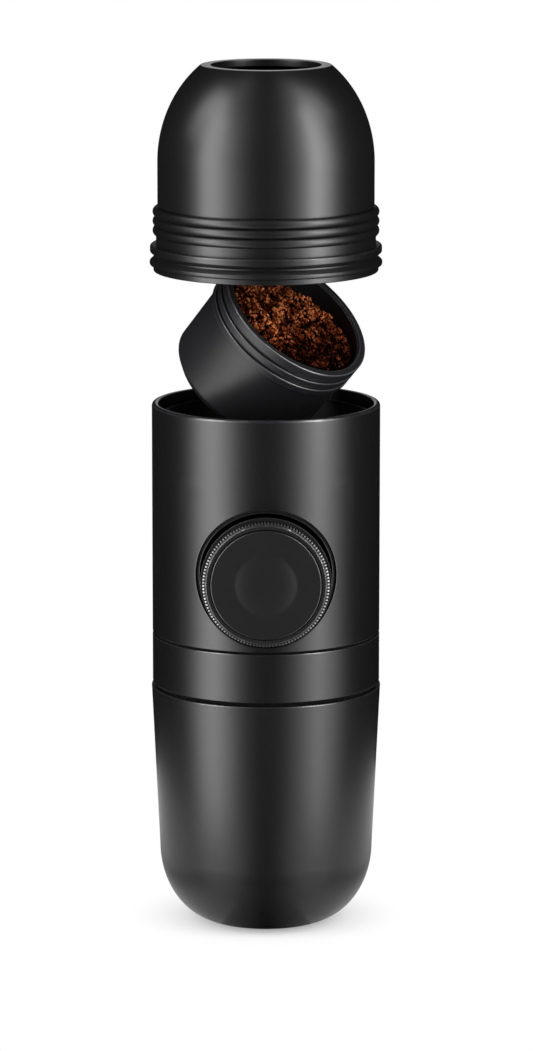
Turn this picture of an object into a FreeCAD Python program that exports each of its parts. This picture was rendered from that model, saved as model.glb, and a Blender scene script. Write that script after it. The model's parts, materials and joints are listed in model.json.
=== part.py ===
"""Handheld manual espresso maker: water tank, pump body, tilting coffee basket and outlet head.

Millimetres, +Z up. The origin is the centre of the tank's foot, on the surface it stands on.
The pump lies along Y, with its knob at the front, on -Y. "Depth" counts from the body's axis
towards the front, so a depth d is the plane y = -d.
The basket is shown tilted in the body's mouth and the head lifted clear above it.
"""
import FreeCAD, Part
import math
import os
from FreeCAD import Vector

# ---- clearances ---------------------------------------------------------------------------
FIT = 0.05              # running fit of a rod, screw or bush in its bore, on the radius
SLIP = 0.25             # loose gap between a part and the shell around it
SAFE = 0.3              # gap between parts that move against each other
EDGE = 0.35             # broken edges of the mouldings

# ---- water tank ---------------------------------------------------------------------------
TANK_HEIGHT = 64.3
TANK_OVERHANG = 0.3     # rim of the tank outside the collar
TANK_CORNER_R = 15.7    # radial reach of the rounded bottom corner
TANK_CORNER_H = 20.3
TANK_FLARE = 2.1        # how much wider the rim is than the wall above the corner
TANK_WALL = 2.0
TANK_FLOOR = 2.4
FOOT_PAD_R = 7.5        # flat pad inside the foot's groove
FOOT_GROOVE_W = 1.2
FOOT_GROOVE_H = 0.5
THREAD_HEIGHT = 0.5
THREAD_PITCH = 2.4
THREAD_TURNS = 3
THREAD_STAGGER = 0.75   # neck's ridges sit between the tank's, in pitches above its lower edge

# ---- body: collar, neck and shell -----------------------------------------------------------
BODY_R = 30.2
TANK_GAP = 1.0          # dark gap between tank and collar, filled by the seal
TANK_SEAL_INSET = 1.2   # seal's edge inside the body's outside
TANK_SEAL_GAP = 0.2     # seal's top below the collar
COLLAR_HEIGHT = 13.0
COLLAR_WALL = 2.0
NECK_WALL = 2.6
NECK_REACH = 8.0        # how far the threaded neck hangs into the tank
PLATE = 3.0             # thickness of the neck's top plate
SEAM_GAP = 0.6
SEAM_INSET = 0.7
SHELL_HEIGHT = 61.3
SHELL_WALL = 1.75

# ---- knob, bezel and bayonet ----------------------------------------------------------------
BEZEL_RISE = 1.25       # knob's bezel above the bottom edge of the shell
KNOB_PROUD = 8.2        # knob face in front of the shell
KNOB_R = 16.45
KNURL_DEPTH = 0.35
KNURL_COUNT = 120
KNURL_LENGTH = 3.4
KNOB_BEVEL = 0.5
KNOB_FLANGE = 0.6       # how much wider the flange behind the knurl is
KNOB_FLANGE_T = 0.8
KNOB_FRONT = 2.6
CAP_MARGIN = 2.1        # cap's edge inside the knurl
CAP_T = 1.4
CAP_PROUD = 0.4
CAP_EDGE = 0.175
DISH_R = 8.25
DISH_DEPTH = 0.75
BEZEL_GAP = 0.3         # gap between knob flange and bezel sleeve
BEZEL_WALL = 0.9
BEZEL_EAR = 3.3
BEZEL_EAR_T = 2.6
EAR_SKIN = 0.65         # ear left in front of its screw hole
EAR_SCREW_DEG = 12.0    # screws above and below the middle of each ear
BEZEL_INSET = 0.6       # sleeve edge below the shell's surface
LEDGE_T = 1.6
LUG_T = 1.8
LUG_DEG = 26.0
SLOT_DEG = 34.0
LUG_COUNT = 3
SKIRT_WALL = 1.9
LUG_REACH = 1.6
HUB_WALL = 2.4
ROD_IN_KNOB = 1.3       # the rod's end reaches this far into the knob's front wall
ROD_END_GAP = 0.13

# ---- pump -----------------------------------------------------------------------------------
STROKE = 18.0
BORE_R = 7.5
CYLINDER_WALL = 2.0
ROD_R = 3.2
PISTON_LENGTH = 8.0
PISTON_GAP = 0.5        # water left behind the piston when it is pushed in
SEAL_R = 0.9            # half thickness of the ring seals
SEAL_SPARE = 0.36       # room left beside the rod's seal in its pocket
PISTON_GROOVE_D = 1.35
PISTON_GROOVE_SPARE = 0.09
BUSH_HEAD_T = 2.5
BUSH_SEAT = 2.0         # length of the bush inside the barrel, at least
STROKE_SPARE = 1.0
FLANGE_T = 2.5
CYLINDER_FLANGE = 3.8
FRAME_T = 2.5
BLOCK_DEPTH = 9.0
BLOCK_WIDTH = 15.0
GASKET_T = 0.8
BALL_R = 2.4
PORT_R = 1.5
PORT_RISE = 1.0         # outlet ball's seat above the port to the barrel
TUBE_R = 3.0
TUBE_WALL = 0.8
CHAMBER_H = 4.5
SEAT_T = 1.5
SOCKET_DEPTH = 3.0
SPRING_WIRE_R = 0.6
SPRING_TURNS = 5
STRAINER_H = 9.0
STRAINER_SLOTS = 4
SLOT_H = 4.5
INTAKE_DIP = 3.0        # intake tube's end below the neck's plate
VENT_CAP_R = 3.6
VENT_CAP_T = 1.2
VENT_EDGE_T = 0.3

# ---- screws ---------------------------------------------------------------------------------
SCREW_R = 1.0
SCREW_HEAD_R = 1.8
SCREW_HEAD_H = 1.2
HEX_DEPTH = 0.6
TIP_SHY = 0.5           # screw tips stop this far short of a plate's far side
BOSS_WALL = 1.0
BOSS_H = 6.0
BOSS_SKIN = 1.8         # boss left below its screw

# ---- brew well and basket -------------------------------------------------------------------
WELL_CLEAR = 0.85       # well above the knob's bezel
WELL_WALL = 1.5
WELL_FLOOR = 6.5
WELL_DROP = 3.0         # top of the well's wall below the rim
SEAT_GASKET_T = 1.2
SEAT_GASKET_W = 4.3
SCREEN_T = 0.6
BASKET_LENGTH = 28.5
BASKET_MARGIN = 9.5     # basket's wall inside the body's outside, at its mouth
BASKET_TAPER = 0.4
BASKET_WALL = 1.4
BASKET_CHAMFER = 2.2
BASKET_FLOOR = 1.6
LIP_OUT = 0.8           # lip and ribs stand this far out of the wall
LIP_BAND = 2.4
RIB_GROOVE = 0.6
RIB_HEIGHTS = (1.9, 2.2)
MOUTH_CHAMFER = 0.5
FILTER_LEDGE = 2.6
COFFEE_DROP = 1.2       # coffee level below the mouth at the near wall
COFFEE_SLOPE_START = 7.0
COFFEE_SLOPE = 0.6      # fall per millimetre behind the slope's start

# ---- basket as it leans in the mouth ----------------------------------------------------------
TILT_DEG = 43.0
TILT_AZIMUTH_DEG = -38.4
CORNER_LIFT = 4.4       # lowest corner of the leaning basket above its seat
CORNER_OFFSET = 5.7     # and its distance from the body's axis

# ---- outlet head ----------------------------------------------------------------------------
HEAD_TUCK = 4.9         # leaning basket's high edge reaches this far into the lifted head
HEAD_INSET = 1.7        # head's cylinder inside the body's outline
HEAD_WALL = 2.0
LIP_HEIGHT = 1.4
HEAD_LIP_OUT = 1.1
SEAM = 0.1
FLANGE_OUT = 2.1
FLANGE_H = 3.2
FLANGE_GROOVE = 0.3
GROOVE_OUT = 0.7
UPPER_FLANGE_OUT = 2.0
UPPER_FLANGE_H = 3.8
BAND_H = 1.7
BAND_OUT = 0.3
HEAD_RIB_H = 2.4
HEAD_RIB_OUT = 1.0
HEAD_RIB_GROOVE = 0.35
HEAD_RIB_COUNT = 3
CYLINDER_H = 10.8
DOME_REACH_H = 31.8     # vertical half axis of the dome's ellipse
DOME_H = 25.4
OUTLET_R = 14.5
SLEEVE_WALL = 1.3
FILTER_PLATE_T = 3.0
HEAD_GASKET_T = 1.5
HEAD_GASKET_W = 3.0
HEAD_GASKET_OUT = 1.0   # gasket's edge outside the basket's lip
HEAD_SCREEN_INSET = 1.5
FUNNEL_INSET = 1.5
FUNNEL_H = 0.75
NOZZLE_R = 4.4
NOZZLE_WALL = 1.6
NOZZLE_LENGTH = 20.0
NOZZLE_TAPER_H = 4.4
NOZZLE_BITE = 1.35      # nozzle's screws reach this far into the filter plate
NOZZLE_FLANGE_R = 9.0
NOZZLE_FLANGE_T = 2.0
HOLE_R = 0.55
HOLE_PITCH = 3.0

# ---- levels and radii that follow from the sizes above ----------------------------------------
tank_rim_r = BODY_R + TANK_OVERHANG
tank_wall_r = tank_rim_r - TANK_FLARE
tank_foot_r = tank_wall_r - TANK_CORNER_R
tank_mouth_r = tank_rim_r - TANK_WALL
collar_z = TANK_HEIGHT + TANK_GAP
seam_z = collar_z + COLLAR_HEIGHT
shell_z = seam_z + SEAM_GAP
rim_z = shell_z + SHELL_HEIGHT
shell_in_r = BODY_R - SHELL_WALL
inner_r = shell_in_r - SLIP
collar_in_r = BODY_R - COLLAR_WALL
neck_r = tank_mouth_r - SAFE - 2 * THREAD_HEIGHT
neck_in_r = neck_r - NECK_WALL
plate_z = seam_z - PLATE

face_depth = BODY_R + KNOB_PROUD
knob_front_depth = face_depth - CAP_PROUD
knurl_front_depth = knob_front_depth - KNOB_BEVEL
flange_front_depth = knurl_front_depth - KNURL_LENGTH
flange_back_depth = flange_front_depth - KNOB_FLANGE_T
cap_back_depth = face_depth - CAP_T
wall_back_depth = cap_back_depth - KNOB_FRONT
knob_flange_r = KNOB_R + KNOB_FLANGE
sleeve_in_r = knob_flange_r + BEZEL_GAP
sleeve_r = sleeve_in_r + BEZEL_WALL
ear_r = sleeve_r + BEZEL_EAR
axis_z = shell_z + BEZEL_RISE + sleeve_r
cap_r = KNOB_R - CAP_MARGIN
ear_front_depth = math.sqrt(shell_in_r ** 2 - ear_r ** 2) - SLIP / 2
ear_back_depth = ear_front_depth - BEZEL_EAR_T
lug_r = sleeve_in_r - SAFE
skirt_r = lug_r - LUG_REACH
skirt_in_r = skirt_r - SKIRT_WALL
lug_front_depth = ear_front_depth - SAFE
lug_back_depth = lug_front_depth - LUG_T
frame_back_depth = ear_back_depth - FRAME_T

cylinder_r = BORE_R + CYLINDER_WALL
piston_r = BORE_R - 2 * FIT
piston_groove_r = piston_r - PISTON_GROOVE_D
block_back = math.sqrt((inner_r - FRAME_T - SAFE) ** 2 - (BLOCK_WIDTH / 2) ** 2)
block_front = block_back - BLOCK_DEPTH
valve_y = (block_front + block_back) / 2
strainer_r = neck_in_r - valve_y - SAFE
cylinder_back_depth = GASKET_T - block_front
piston_back_depth = cylinder_back_depth + PISTON_GAP
piston_front_depth = piston_back_depth + PISTON_LENGTH
bush_back_depth = piston_front_depth + STROKE + STROKE_SPARE
cylinder_front_depth = max(ear_front_depth, bush_back_depth) + BUSH_SEAT
bush_front_depth = cylinder_front_depth + BUSH_HEAD_T
cylinder_flange_r = cylinder_r + CYLINDER_FLANGE
flange_screw_r = cylinder_r + CYLINDER_FLANGE / 2
spring_mean_r = (cylinder_r + skirt_in_r) / 2
well_top_z = rim_z - WELL_DROP
well_z = axis_z + sleeve_r + WELL_CLEAR
floor_z = well_z + WELL_FLOOR
seat_z = floor_z + SEAT_GASKET_T + SAFE
well_in_r = inner_r - WELL_WALL
frame_z = shell_z + FRAME_T
lower_port_z = axis_z - PORT_R - BALL_R
upper_port_z = axis_z + PORT_R + PORT_RISE
block_z = lower_port_z - CHAMBER_H - SEAT_T - SOCKET_DEPTH
block_top_z = upper_port_z + CHAMBER_H + SEAT_T + SOCKET_DEPTH
inlet_seat_z = lower_port_z - CHAMBER_H
passage_z = well_z + WELL_FLOOR / 2

basket_top_r = BODY_R - BASKET_MARGIN
basket_base_r = basket_top_r - BASKET_TAPER
lip_r = basket_top_r + LIP_OUT
basket_in_r = basket_top_r - BASKET_WALL
seat_gasket_r = basket_base_r - BASKET_CHAMFER
seat_gasket_in_r = seat_gasket_r - SEAT_GASKET_W
mouth_z = seat_z + BASKET_LENGTH
tilt = math.radians(TILT_DEG)
leaning_base_s = CORNER_OFFSET - basket_base_r * math.cos(tilt)
leaning_base_z = seat_z + CORNER_LIFT + basket_base_r * math.sin(tilt)
leaning_top_z = leaning_base_z + BASKET_LENGTH * math.cos(tilt) + lip_r * math.sin(tilt)
head_r = BODY_R - HEAD_INSET
head_lip_r = head_r + HEAD_LIP_OUT
flange_r = head_r + FLANGE_OUT
upper_flange_r = head_r + UPPER_FLANGE_OUT
groove_r = head_r + GROOVE_OUT
band_r = head_r + BAND_OUT
head_closed_z = rim_z
head_lift = leaning_top_z - HEAD_TUCK - rim_z

lock_ring_z = head_closed_z + LIP_HEIGHT + SEAM + FLANGE_H + FLANGE_GROOVE
upper_flange_z = lock_ring_z + SEAM + UPPER_FLANGE_H
ribs_z = upper_flange_z + BAND_H
rib_step = HEAD_RIB_H + HEAD_RIB_GROOVE
cylinder_z = ribs_z + HEAD_RIB_COUNT * rib_step
dome_z = cylinder_z + CYLINDER_H
head_top_z = dome_z + DOME_H
head_in_r = head_r - HEAD_WALL
gasket_z = mouth_z + SAFE
plate_low_z = gasket_z + HEAD_GASKET_T
plate_top_z = plate_low_z + FILTER_PLATE_T
plate_r = head_in_r - SLIP
head_screen_r = basket_in_r - HEAD_SCREEN_INSET
nozzle_bore = NOZZLE_R - NOZZLE_WALL
nozzle_tip_z = plate_top_z - NOZZLE_BITE
round_r = 2 * EDGE                              # rounded corners of the head's flanges
round_mid = round_r * (1 - math.sqrt(0.5))      # their middle, in from the sharp corner


# ---- drawing helpers ------------------------------------------------------------------------
class Outline:
    """A closed outline in the r-z half plane, drawn edge by edge and turned into a solid."""

    def __init__(self, r, z):
        self.first = Vector(r, 0, z)
        self.pen = self.first
        self.edges = []

    def to(self, r, z):
        """A straight edge."""
        end = Vector(r, 0, z)
        if end.distanceToPoint(self.pen) > 1e-6:
            self.edges.append(Part.LineSegment(self.pen, end).toShape())
        self.pen = end
        return self

    def bow(self, mid_r, mid_z, r, z):
        """A circular arc through a middle point."""
        end = Vector(r, 0, z)
        self.edges.append(Part.Arc(self.pen, Vector(mid_r, 0, mid_z), end).toShape())
        self.pen = end
        return self

    def oval(self, centre_r, centre_z, half_r, half_z, r, z):
        """Part of an upright ellipse, the short way round to its end point."""
        centre = Vector(centre_r, 0, centre_z)
        side = centre + Vector(half_r, 0, 0)
        top = centre + Vector(0, 0, half_z)
        major, minor = (side, top) if half_r > half_z else (top, side)
        curve = Part.Ellipse(major, minor, centre)
        end = Vector(r, 0, z)
        start_at = curve.parameter(self.pen)
        span = (curve.parameter(end) - start_at) % (2 * math.pi)
        if span > math.pi:
            start_at, span = start_at + span, 2 * math.pi - span
        self.edges.append(curve.toShape(start_at, start_at + span))
        self.pen = end
        return self

    def face(self):
        """Close the outline and fill it."""
        self.to(self.first.x, self.first.z)
        return Part.Face(Part.Wire(Part.__sortEdges__(self.edges)))

    def spin(self):
        """Turn the outline once round the Z axis."""
        return self.face().revolve(Vector(), Vector(0, 0, 1), 360)


def disc(radius, low, high, x=0.0, y=0.0):
    """A plain upright cylinder between two levels."""
    return Part.makeCylinder(radius, high - low, Vector(x, y, low))


def ring(outer, inner, low, high):
    """A plain ring between two levels."""
    return Outline(inner, low).to(outer, low).to(outer, high).to(inner, high).spin()


def edged_ring(outer, inner, low, high, edge=EDGE):
    """A ring with its outer edges broken."""
    shape = Outline(inner, low).to(outer - edge, low).to(outer, low + edge)
    return shape.to(outer, high - edge).to(outer - edge, high).to(inner, high).spin()


def sector(outer, inner, low, high, middle_deg, span_deg):
    """A wedge of a ring, centred on one angle."""
    wedge = Part.makeCylinder(outer, high - low, Vector(0, 0, low), Vector(0, 0, 1), span_deg)
    wedge = wedge.cut(disc(inner, low, high))
    wedge.rotate(Vector(), Vector(0, 0, 1), middle_deg - span_deg / 2)
    return wedge


def to_front(shape):
    """Lay a shape drawn along +Z on the pump's axis, with +Z turned to the front."""
    shape.rotate(Vector(), Vector(1, 0, 0), 90)
    shape.translate(Vector(0, 0, axis_z))
    return shape


def block(half_x, front_depth, back_depth, low, high):
    """A box centred on x = 0 between two depths and two levels."""
    corner = Vector(-half_x, -front_depth, low)
    return Part.makeBox(2 * half_x, front_depth - back_depth, high - low, corner)


def screw(length):
    """A screw along Z: head below 0, shank up to its length, with a hexagonal socket."""
    outline = Outline(0, -SCREW_HEAD_H).to(SCREW_HEAD_R, -SCREW_HEAD_H).to(SCREW_HEAD_R, 0)
    solid = outline.to(SCREW_R, 0).to(SCREW_R, length - EDGE).to(SCREW_R - EDGE, length)
    solid = solid.to(0, length).spin()
    corners = [polar(SCREW_R, 60 * k, -SCREW_HEAD_H) for k in range(7)]
    socket = Part.Face(Part.makePolygon(corners)).extrude(Vector(0, 0, HEX_DEPTH))
    return solid.cut(socket)


def polar(radius, degrees, z=0.0):
    """A point by its radius, angle and level."""
    turn = math.radians(degrees)
    return Vector(radius * math.cos(turn), radius * math.sin(turn), z)


def spaced(count, radius, first_deg):
    """Evenly spaced points on a circle."""
    return [polar(radius, first_deg + 360 * k / count) for k in range(count)]


def grouped(shape, places):
    """Copies of one shape at several places, as separate solids of one group."""
    copies = []
    for place in places:
        copy = shape.copy()
        copy.translate(place)
        copies.append(copy)
    return Part.makeCompound(copies)


def drilled(shape, radius, low, high, places):
    """Cut round upright holes at the given places."""
    return shape.cut(Part.makeCompound([disc(radius, low, high, p.x, p.y) for p in places]))


def sieve(radius, low, high):
    """A perforated disc with rings of small holes."""
    holes = [disc(HOLE_R, low, high)]
    rings = int((radius - HOLE_PITCH / 2) / HOLE_PITCH)
    for k in range(1, rings + 1):
        holes += [disc(HOLE_R, low, high, p.x, p.y) for p in spaced(6 * k, k * HOLE_PITCH, 0)]
    return disc(radius, low, high).cut(Part.makeCompound(holes))


# ---- places of the screws ---------------------------------------------------------------------
base_circle_r = (neck_in_r + cylinder_r) / 2
base_front_y = SCREW_R + SAFE - frame_back_depth
base_front_x = math.sqrt(base_circle_r ** 2 - base_front_y ** 2)
base_places = [polar(base_circle_r, 45), polar(base_circle_r, 135),
               Vector(-base_front_x, base_front_y, 0), Vector(base_front_x, base_front_y, 0)]
flange_places = spaced(4, flange_screw_r, 45)
ear_screw_r = (sleeve_r + ear_r) / 2
ear_places = [polar(ear_screw_r, side + a) for side in (0, 180) for a in (-EAR_SCREW_DEG, EAR_SCREW_DEG)]
boss_r = SCREW_HEAD_R + BOSS_WALL
boss_circle_r = inner_r - FRAME_T - boss_r / 2
boss_front_y = -(frame_back_depth + FRAME_T / 2)
boss_front_x = math.sqrt(boss_circle_r ** 2 - boss_front_y ** 2)
boss_places = [polar(boss_circle_r, 45), polar(boss_circle_r, 135),
               Vector(-boss_front_x, boss_front_y, 0), Vector(boss_front_x, boss_front_y, 0)]
nozzle_places = spaced(3, (NOZZLE_R + NOZZLE_FLANGE_R) / 2, 90)


# ---- water tank -------------------------------------------------------------------------------
def water_tank():
    """Round-bottomed cup with a grooved foot and a threaded mouth."""
    outline = Outline(0, 0).to(FOOT_PAD_R, 0).to(FOOT_PAD_R, FOOT_GROOVE_H)
    outline.to(FOOT_PAD_R + FOOT_GROOVE_W, FOOT_GROOVE_H).to(FOOT_PAD_R + FOOT_GROOVE_W, 0)
    outline.to(tank_foot_r, 0)
    outline.oval(tank_foot_r, TANK_CORNER_H, TANK_CORNER_R, TANK_CORNER_H, tank_wall_r,
                 TANK_CORNER_H)
    outline.to(tank_rim_r, TANK_HEIGHT - EDGE).to(tank_rim_r - EDGE, TANK_HEIGHT)
    outline.to(tank_mouth_r, TANK_HEIGHT)
    thread_z = TANK_HEIGHT - THREAD_PITCH
    outline.to(tank_mouth_r, thread_z)
    for turn in range(THREAD_TURNS):
        crest_z = thread_z - (turn + 0.5) * THREAD_PITCH
        outline.to(tank_mouth_r, crest_z + 2 * THREAD_HEIGHT)
        outline.to(tank_mouth_r - THREAD_HEIGHT, crest_z)
        outline.to(tank_mouth_r, crest_z - 2 * THREAD_HEIGHT)
    outline.to(tank_mouth_r, thread_z - (THREAD_TURNS + 1) * THREAD_PITCH)
    outline.to(tank_wall_r - TANK_WALL, TANK_CORNER_H)
    outline.oval(tank_foot_r, TANK_CORNER_H, TANK_CORNER_R - TANK_WALL,
                 TANK_CORNER_H - TANK_FLOOR, tank_foot_r, TANK_FLOOR)
    return outline.to(0, TANK_FLOOR).spin()


def tank_seal():
    """Flat silicone ring on the tank's rim, set back from the outside."""
    return ring(BODY_R - TANK_SEAL_INSET, tank_mouth_r + FIT, TANK_HEIGHT, collar_z - TANK_SEAL_GAP)


# ---- lower body -------------------------------------------------------------------------------
def collar_ring():
    """Plain band between the tank and the shell."""
    return edged_ring(BODY_R, collar_in_r, collar_z, seam_z)


def threaded_neck():
    """Inverted cup: threads into the tank and carries the pump on its top plate."""
    land_r = collar_in_r - FIT
    low = collar_z - NECK_REACH
    outline = Outline(neck_in_r, low).to(neck_r - EDGE, low).to(neck_r, low + EDGE)
    for turn in range(THREAD_TURNS - 1):
        crest_z = low + (turn + THREAD_STAGGER) * THREAD_PITCH
        outline.to(neck_r, crest_z - 2 * THREAD_HEIGHT)
        outline.to(neck_r + THREAD_HEIGHT, crest_z)
        outline.to(neck_r, crest_z + 2 * THREAD_HEIGHT)
    outline.to(neck_r, collar_z).to(land_r, collar_z).to(land_r, seam_z)
    outline.to(BODY_R - SEAM_INSET, seam_z).to(BODY_R - SEAM_INSET, shell_z).to(0, shell_z)
    solid = outline.to(0, plate_z).to(neck_in_r, plate_z).spin()
    solid = drilled(solid, SCREW_R + FIT, plate_z, shell_z, base_places)
    solid = drilled(solid, TUBE_R + FIT, plate_z, shell_z, [Vector(0, valve_y, 0)])
    return drilled(solid, PORT_R, plate_z, shell_z, [vent_place()])


def vent_place():
    """Middle of the air vent in the neck's top plate."""
    return Vector(neck_in_r / 2, 0, 0)


def vent_valve():
    """Rubber mushroom that lets air into the tank under the neck's top plate."""
    outline = Outline(0, plate_z - VENT_CAP_T).to(VENT_CAP_R / 2, plate_z - VENT_CAP_T)
    outline.to(VENT_CAP_R, plate_z - VENT_EDGE_T).to(VENT_CAP_R, plate_z).to(PORT_R - FIT, plate_z)
    solid = outline.to(PORT_R - FIT, shell_z - SEAM_GAP).to(0, shell_z - SEAM_GAP).spin()
    solid.translate(vent_place())
    return solid


def base_screws():
    """Screws up through the neck's plate into the chassis."""
    return grouped(screw(frame_z - plate_z - EDGE), [p + Vector(0, 0, plate_z) for p in base_places])


def intake_strainer():
    """Slotted cup under the neck's plate, round the end of the intake tube."""
    low = plate_z - STRAINER_H
    outline = Outline(TUBE_R + FIT, plate_z).to(TUBE_R + FIT, plate_z - TUBE_WALL)
    outline.to(strainer_r - TUBE_WALL, plate_z - TUBE_WALL)
    outline.to(strainer_r - TUBE_WALL, low + TUBE_WALL).to(0, low + TUBE_WALL).to(0, low)
    solid = outline.to(strainer_r, low).to(strainer_r, plate_z).spin()
    slot = Part.makeBox(4 * strainer_r, TUBE_WALL, SLOT_H,
                        Vector(-2 * strainer_r, -TUBE_WALL / 2, low + 2 * TUBE_WALL))
    for k in range(STRAINER_SLOTS):
        turned = slot.copy()
        turned.rotate(Vector(), Vector(0, 0, 1), 180 * k / STRAINER_SLOTS)
        solid = solid.cut(turned)
    solid.translate(Vector(0, valve_y, 0))
    return solid


def pipe(low, high):
    """Straight tube on the valve block's axis."""
    solid = ring(TUBE_R, TUBE_R - TUBE_WALL, low, high)
    solid.translate(Vector(0, valve_y, 0))
    return solid


def intake_tube():
    """From the strainer up to the inlet valve's seat."""
    return pipe(plate_z - INTAKE_DIP, inlet_seat_z - SEAT_T)


# ---- shell, chassis and bezel -----------------------------------------------------------------
def body_shell():
    """Outer tube with a broken rim and the round opening for the knob."""
    outline = Outline(shell_in_r, shell_z).to(BODY_R - EDGE, shell_z).to(BODY_R, shell_z + EDGE)
    outline.to(BODY_R, rim_z - EDGE).to(BODY_R - EDGE, rim_z)
    solid = outline.to(shell_in_r + EDGE, rim_z).to(shell_in_r, rim_z - EDGE).spin()
    return solid.cut(to_front(disc(sleeve_r + FIT, 0, 2 * BODY_R)))


def chassis():
    """Inner frame: base disc, rear half wall, front plate, cylinder saddle and screw bosses."""
    base = disc(inner_r, shell_z, frame_z)
    wall = ring(inner_r, inner_r - FRAME_T, shell_z, well_z)
    wall = wall.cut(block(2 * BODY_R, 2 * BODY_R, 0, shell_z, well_z))
    plate = block(ear_r, ear_back_depth, frame_back_depth, shell_z, well_z)
    plate = plate.common(disc(inner_r, shell_z, well_z))
    saddle = block(cylinder_r, frame_back_depth - 2 * FLANGE_T - SCREW_HEAD_H, -block_front + SAFE,
                   shell_z, axis_z)
    pillar = block(BLOCK_WIDTH / 2, -block_front, -inner_r, shell_z, block_z)
    pillar = pillar.common(disc(inner_r, shell_z, block_z))
    bosses = [disc(boss_r, well_z - BOSS_H, well_z, p.x, p.y) for p in boss_places]
    solid = base.multiFuse([wall, plate, saddle, pillar] + bosses).removeSplitter()
    solid = solid.common(disc(inner_r, shell_z, well_z))
    solid = solid.cut(to_front(disc(cylinder_r + FIT, -BODY_R, BODY_R)))
    solid = solid.cut(to_front(disc(ear_r + SLIP, ear_back_depth, BODY_R)))
    solid = drilled(solid, TUBE_R + SLIP, shell_z, block_z, [Vector(0, valve_y, 0)])
    solid = drilled(solid, SCREW_R + FIT, shell_z, frame_z, base_places)
    solid = drilled(solid, SCREW_R + FIT, well_z - BOSS_H, well_z, boss_places)
    holes = [disc(SCREW_R + FIT, frame_back_depth, ear_back_depth, p.x, p.y)
             for p in ear_places + flange_places]
    return solid.cut(to_front(Part.makeCompound(holes)))


def knob_bezel():
    """Sleeve in the shell's opening, with two ears behind the shell and the bayonet ledges."""
    sleeve = ring(sleeve_r, sleeve_in_r, ear_back_depth, BODY_R)
    ears = ring(ear_r, sleeve_in_r, ear_back_depth, ear_front_depth)
    ears = ears.common(Part.makeBox(4 * ear_r, 2 * sleeve_r, 2 * BODY_R,
                                    Vector(-2 * ear_r, -sleeve_r, 0)))
    ledge = ring(sleeve_in_r + FIT, skirt_r + SAFE, ear_front_depth, ear_front_depth + LEDGE_T)
    slots = [sector(lug_r + SAFE, skirt_r, ear_front_depth, ear_front_depth + LEDGE_T,
                    360 * k / LUG_COUNT, SLOT_DEG) for k in range(LUG_COUNT)]
    ledge = ledge.cut(Part.makeCompound(slots))
    solid = sleeve.multiFuse([ears, ledge]).removeSplitter()
    holes = [disc(SCREW_R + FIT, ear_back_depth, ear_back_depth + screw_bite(), p.x, p.y)
             for p in ear_places]
    solid = to_front(solid.cut(Part.makeCompound(holes)))
    return solid.common(disc(BODY_R - BEZEL_INSET, 0, rim_z))


def screw_bite():
    """How far the screws reach into the bezel's ears."""
    return BEZEL_EAR_T - EAR_SKIN


def bezel_screws():
    """Screws from the chassis into the bezel's ears."""
    group = grouped(screw(FRAME_T + screw_bite() - FIT),
                    [p + Vector(0, 0, frame_back_depth) for p in ear_places])
    return to_front(group)


# ---- pump -------------------------------------------------------------------------------------
def pump_cylinder():
    """Pump barrel with its mounting flange behind the chassis plate."""
    flange_back = frame_back_depth - FLANGE_T
    outline = Outline(BORE_R, cylinder_back_depth).to(cylinder_r, cylinder_back_depth)
    outline.to(cylinder_r, flange_back).to(cylinder_flange_r, flange_back)
    outline.to(cylinder_flange_r, frame_back_depth).to(cylinder_r, frame_back_depth)
    solid = outline.to(cylinder_r, cylinder_front_depth).to(BORE_R, cylinder_front_depth).spin()
    return to_front(drilled(solid, SCREW_R + FIT, flange_back, frame_back_depth, flange_places))


def cylinder_screws():
    """Screws through the barrel's flange into the chassis plate."""
    depth = frame_back_depth - FLANGE_T
    group = grouped(screw(FLANGE_T + FRAME_T - TIP_SHY), [p + Vector(0, 0, depth) for p in flange_places])
    return to_front(group)


def rod_bush():
    """Front guide of the rod, screwed into the barrel, with a pocket for the rod's seal."""
    pocket_r = ROD_R + 2 * SEAL_R
    pocket_depth = bush_front_depth - 2 * SEAL_R
    outline = Outline(ROD_R + FIT, bush_back_depth).to(BORE_R - FIT, bush_back_depth)
    outline.to(BORE_R - FIT, cylinder_front_depth).to(cylinder_r, cylinder_front_depth)
    outline.to(cylinder_r, bush_front_depth).to(pocket_r, bush_front_depth).to(pocket_r, pocket_depth)
    return to_front(outline.to(ROD_R + FIT, pocket_depth).spin())


def rod_seal():
    """Ring seal in the bush, round the rod."""
    depth = bush_front_depth - 2 * SEAL_R
    return to_front(ring(ROD_R + 2 * SEAL_R, ROD_R + FIT, depth, bush_front_depth - SEAL_SPARE))


def piston_rod():
    """Steel rod from the piston to the knob, stepped where the knob turns on it."""
    step_depth = wall_back_depth - ROD_R
    end_depth = wall_back_depth + ROD_IN_KNOB
    outline = Outline(0, piston_back_depth + ROD_R).to(ROD_R, piston_back_depth + ROD_R)
    outline.to(ROD_R, end_depth).to(SCREW_R + FIT, end_depth)
    return to_front(outline.to(SCREW_R + FIT, step_depth).to(0, step_depth).spin())


def piston_head():
    """Plastic piston pressed on the rod's end, grooved for its seal."""
    middle = (piston_back_depth + piston_front_depth) / 2
    groove_back = middle - SEAL_R - PISTON_GROOVE_SPARE
    groove_front = middle + SEAL_R + PISTON_GROOVE_SPARE
    outline = Outline(0, piston_back_depth).to(piston_r - EDGE, piston_back_depth)
    outline.to(piston_r, piston_back_depth + EDGE).to(piston_r, groove_back)
    outline.to(piston_groove_r, groove_back).to(piston_groove_r, groove_front)
    outline.to(piston_r, groove_front).to(piston_r, piston_front_depth)
    outline.to(ROD_R, piston_front_depth).to(ROD_R, piston_back_depth + ROD_R)
    return to_front(outline.to(0, piston_back_depth + ROD_R).spin())


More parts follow.
